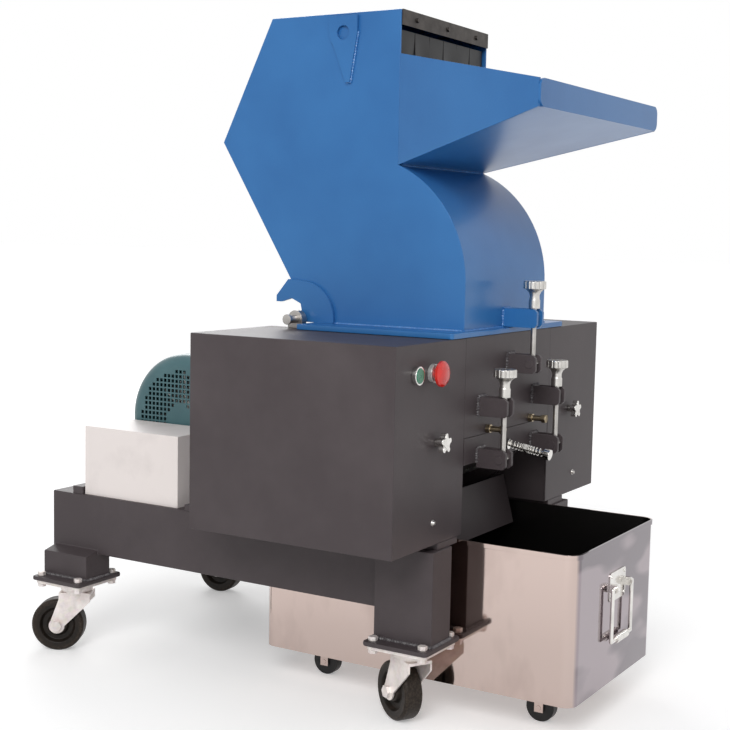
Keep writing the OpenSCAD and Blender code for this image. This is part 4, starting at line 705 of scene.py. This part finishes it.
def rubberFlaps():
    shape = bmesh.new()
    width = 2 * flaps["half"] / flaps["count"]
    columns, rows = flaps["columns"], flaps["rows"]
    for i in range(flaps["count"]):
        grid = []
        for r in range(rows + 1):
            down = r / rows
            line = []
            for c in range(columns + 1):
                across = c / columns
                share = flaps["gapShare"] + across * (1 - 2 * flaps["gapShare"])
                x = -flaps["half"] + (i + share) * width
                curl = math.cos((across - 0.5) * math.pi * (1.2 + 0.5 * math.sin(i * 2.3))) - 0.5
                ripple = 0.4 * math.sin(down * 9 + i * 1.7) + 0.3 * math.sin(down * 17 + across * 3 + i)
                bow = curl * flaps["curl"] * (1 if i % 2 else -1) + ripple * 0.6
                y = flaps["depth"] + bow * min(1.0, down * 3)
                hem = 2.0 * math.sin(across * 5 + i * 1.3) * (down > 0.97)
                z = flaps["top"] - flaps["length"] * down - hem
                line.append(shape.verts.new(at(x, y, z)))
            grid.append(line)
        for r in range(rows):
            for c in range(columns):
                shape.faces.new((grid[r][c], grid[r + 1][c], grid[r + 1][c + 1], grid[r][c + 1]))
    mesh = bpy.data.meshes.new("rubber_flaps")
    shape.to_mesh(mesh)
    shape.free()
    piece = newPiece("rubber_flaps", mesh, look["rubber"])
    thick = piece.modifiers.new("thick", "SOLIDIFY")
    thick.thickness = flaps["thickness"] / 1000
    thick.offset = 0.0
    piece.data = settled(piece)
    shadeSmooth(piece.data, flaps["sharpAngle"])
    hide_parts("curtain_flaps")
    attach(piece, "curtain")


rubberFlaps()
print("rubber strips hung")


# Camera, light and floor
cameraFit = {"x": -2130.0, "y": -997.4, "z": 810.1, "yaw": 58.73, "down": 5.66, "roll": 1.14,
             "focalPixels": 1347.6, "pictureWidth": 730, "sensorWidth": 36, "farthest": 200}


def setCamera():
    data = bpy.data.cameras.new("photo_camera")
    camera = bpy.data.objects.new("photo_camera", data)
    scene.collection.objects.link(camera)
    yaw, down, roll = (math.radians(cameraFit[k]) for k in ("yaw", "down", "roll"))
    forward = Vector((math.sin(yaw) * math.cos(down), math.cos(yaw) * math.cos(down), -math.sin(down)))
    level = Vector((math.cos(yaw), -math.sin(yaw), 0))
    up = level.cross(forward)
    right = level * math.cos(roll) + up * math.sin(roll)
    top = up * math.cos(roll) - level * math.sin(roll)
    turn = Matrix((right, top, -forward)).transposed()
    place = at(cameraFit["x"], cameraFit["y"], cameraFit["z"])
    camera.matrix_world = Matrix.Translation(place) @ turn.to_4x4()
    data.sensor_width = cameraFit["sensorWidth"]
    data.lens = cameraFit["focalPixels"] / cameraFit["pictureWidth"] * cameraFit["sensorWidth"]
    data.clip_end = cameraFit["farthest"]
    scene.camera = camera


studio = {"sky": 0.53, "seen": 1.0, "floor": (0.90, 0.90, 0.90), "floorLift": 0.30, "farLift": 0.22,
          "fadeFrom": 1.8, "fadeTo": 6.0, "reach": 40.0, "aim": (0, 0, 0.6)}
lamps = {"key": {"place": (-3.9, -1.5, 3.0), "size": 2.2, "power": 112.0},
         "fill": {"place": (1.8, -3.8, 2.4), "size": 2.5, "power": 4.0},
         "rear": {"place": (2.9, 3.0, 2.6), "size": 2.5, "power": 60.0}}


def areaLamp(name, lamp):
    data = bpy.data.lights.new(name, "AREA")
    data.shape = "DISK"
    data.size = lamp["size"]
    data.energy = lamp["power"]
    light = bpy.data.objects.new(name, data)
    scene.collection.objects.link(light)
    place = Vector(lamp["place"])
    turn = (Vector(studio["aim"]) - place).to_track_quat("-Z", "Y").to_matrix().to_4x4()
    light.matrix_world = Matrix.Translation(place) @ turn


def setSky():
    world = bpy.data.worlds.new("studio")
    scene.world = world
    world.use_nodes = True
    tree = world.node_tree
    tree.nodes.clear()
    sheet = Sheet(tree)
    rays = tree.nodes.new("ShaderNodeLightPath")
    seen = (Wire(sheet, rays.outputs["Is Camera Ray"]) + Wire(sheet, rays.outputs["Is Glossy Ray"])
            + Wire(sheet, rays.outputs["Is Transmission Ray"])).between(0.0, 1.0)
    strength = seen * (studio["seen"] - studio["sky"]) + studio["sky"]
    back = sheet.add("ShaderNodeBackground", {}, {"Color": (1.0, 1.0, 1.0, 1.0), "Strength": strength})
    out = tree.nodes.new("ShaderNodeOutputWorld")
    tree.links.new(back.socket, out.inputs["Surface"])


# pale, and fading to white far out, so that no edge of it shows
def floorPaint(sheet):
    soft = sheet.noise(0.6, 2.0)
    faint = tuple(c * 0.99 for c in studio["floor"])
    colour = sheet.mix(soft.between(0.3, 0.8), studio["floor"], faint)
    rays = sheet.tree.nodes.new("ShaderNodeLightPath")
    seen = Wire(sheet, rays.outputs["Is Camera Ray"]) + Wire(sheet, rays.outputs["Is Glossy Ray"])
    x, y = sheet.parts(sheet.place())[:2]
    away = (x * x + y * y).maths("SQRT").between(studio["fadeFrom"], studio["fadeTo"])
    lift = away * studio["farLift"] + studio["floorLift"]
    return {"Base Color": colour, "Emission Strength": seen.between(0.0, 1.0) * lift}


def setFloor():
    mesh = bpy.data.meshes.new("floor")
    reach = studio["reach"]
    corners = [(-reach, -reach, 0), (reach, -reach, 0), (reach, reach, 0), (-reach, reach, 0)]
    mesh.from_pydata(corners, [], [(0, 1, 2, 3)])
    paint = finish("studio_floor", floorPaint, Roughness=0.9, Specular_IOR_Level=0.1,
                   Emission_Color=(1.0, 1.0, 1.0, 1.0))
    newPiece("floor", mesh, paint)


setCamera()
setSky()
for name, lamp in lamps.items():
    areaLamp(name, lamp)
setFloor()
scene.view_settings.view_transform = "Standard"
print("camera, lamps and floor ready")
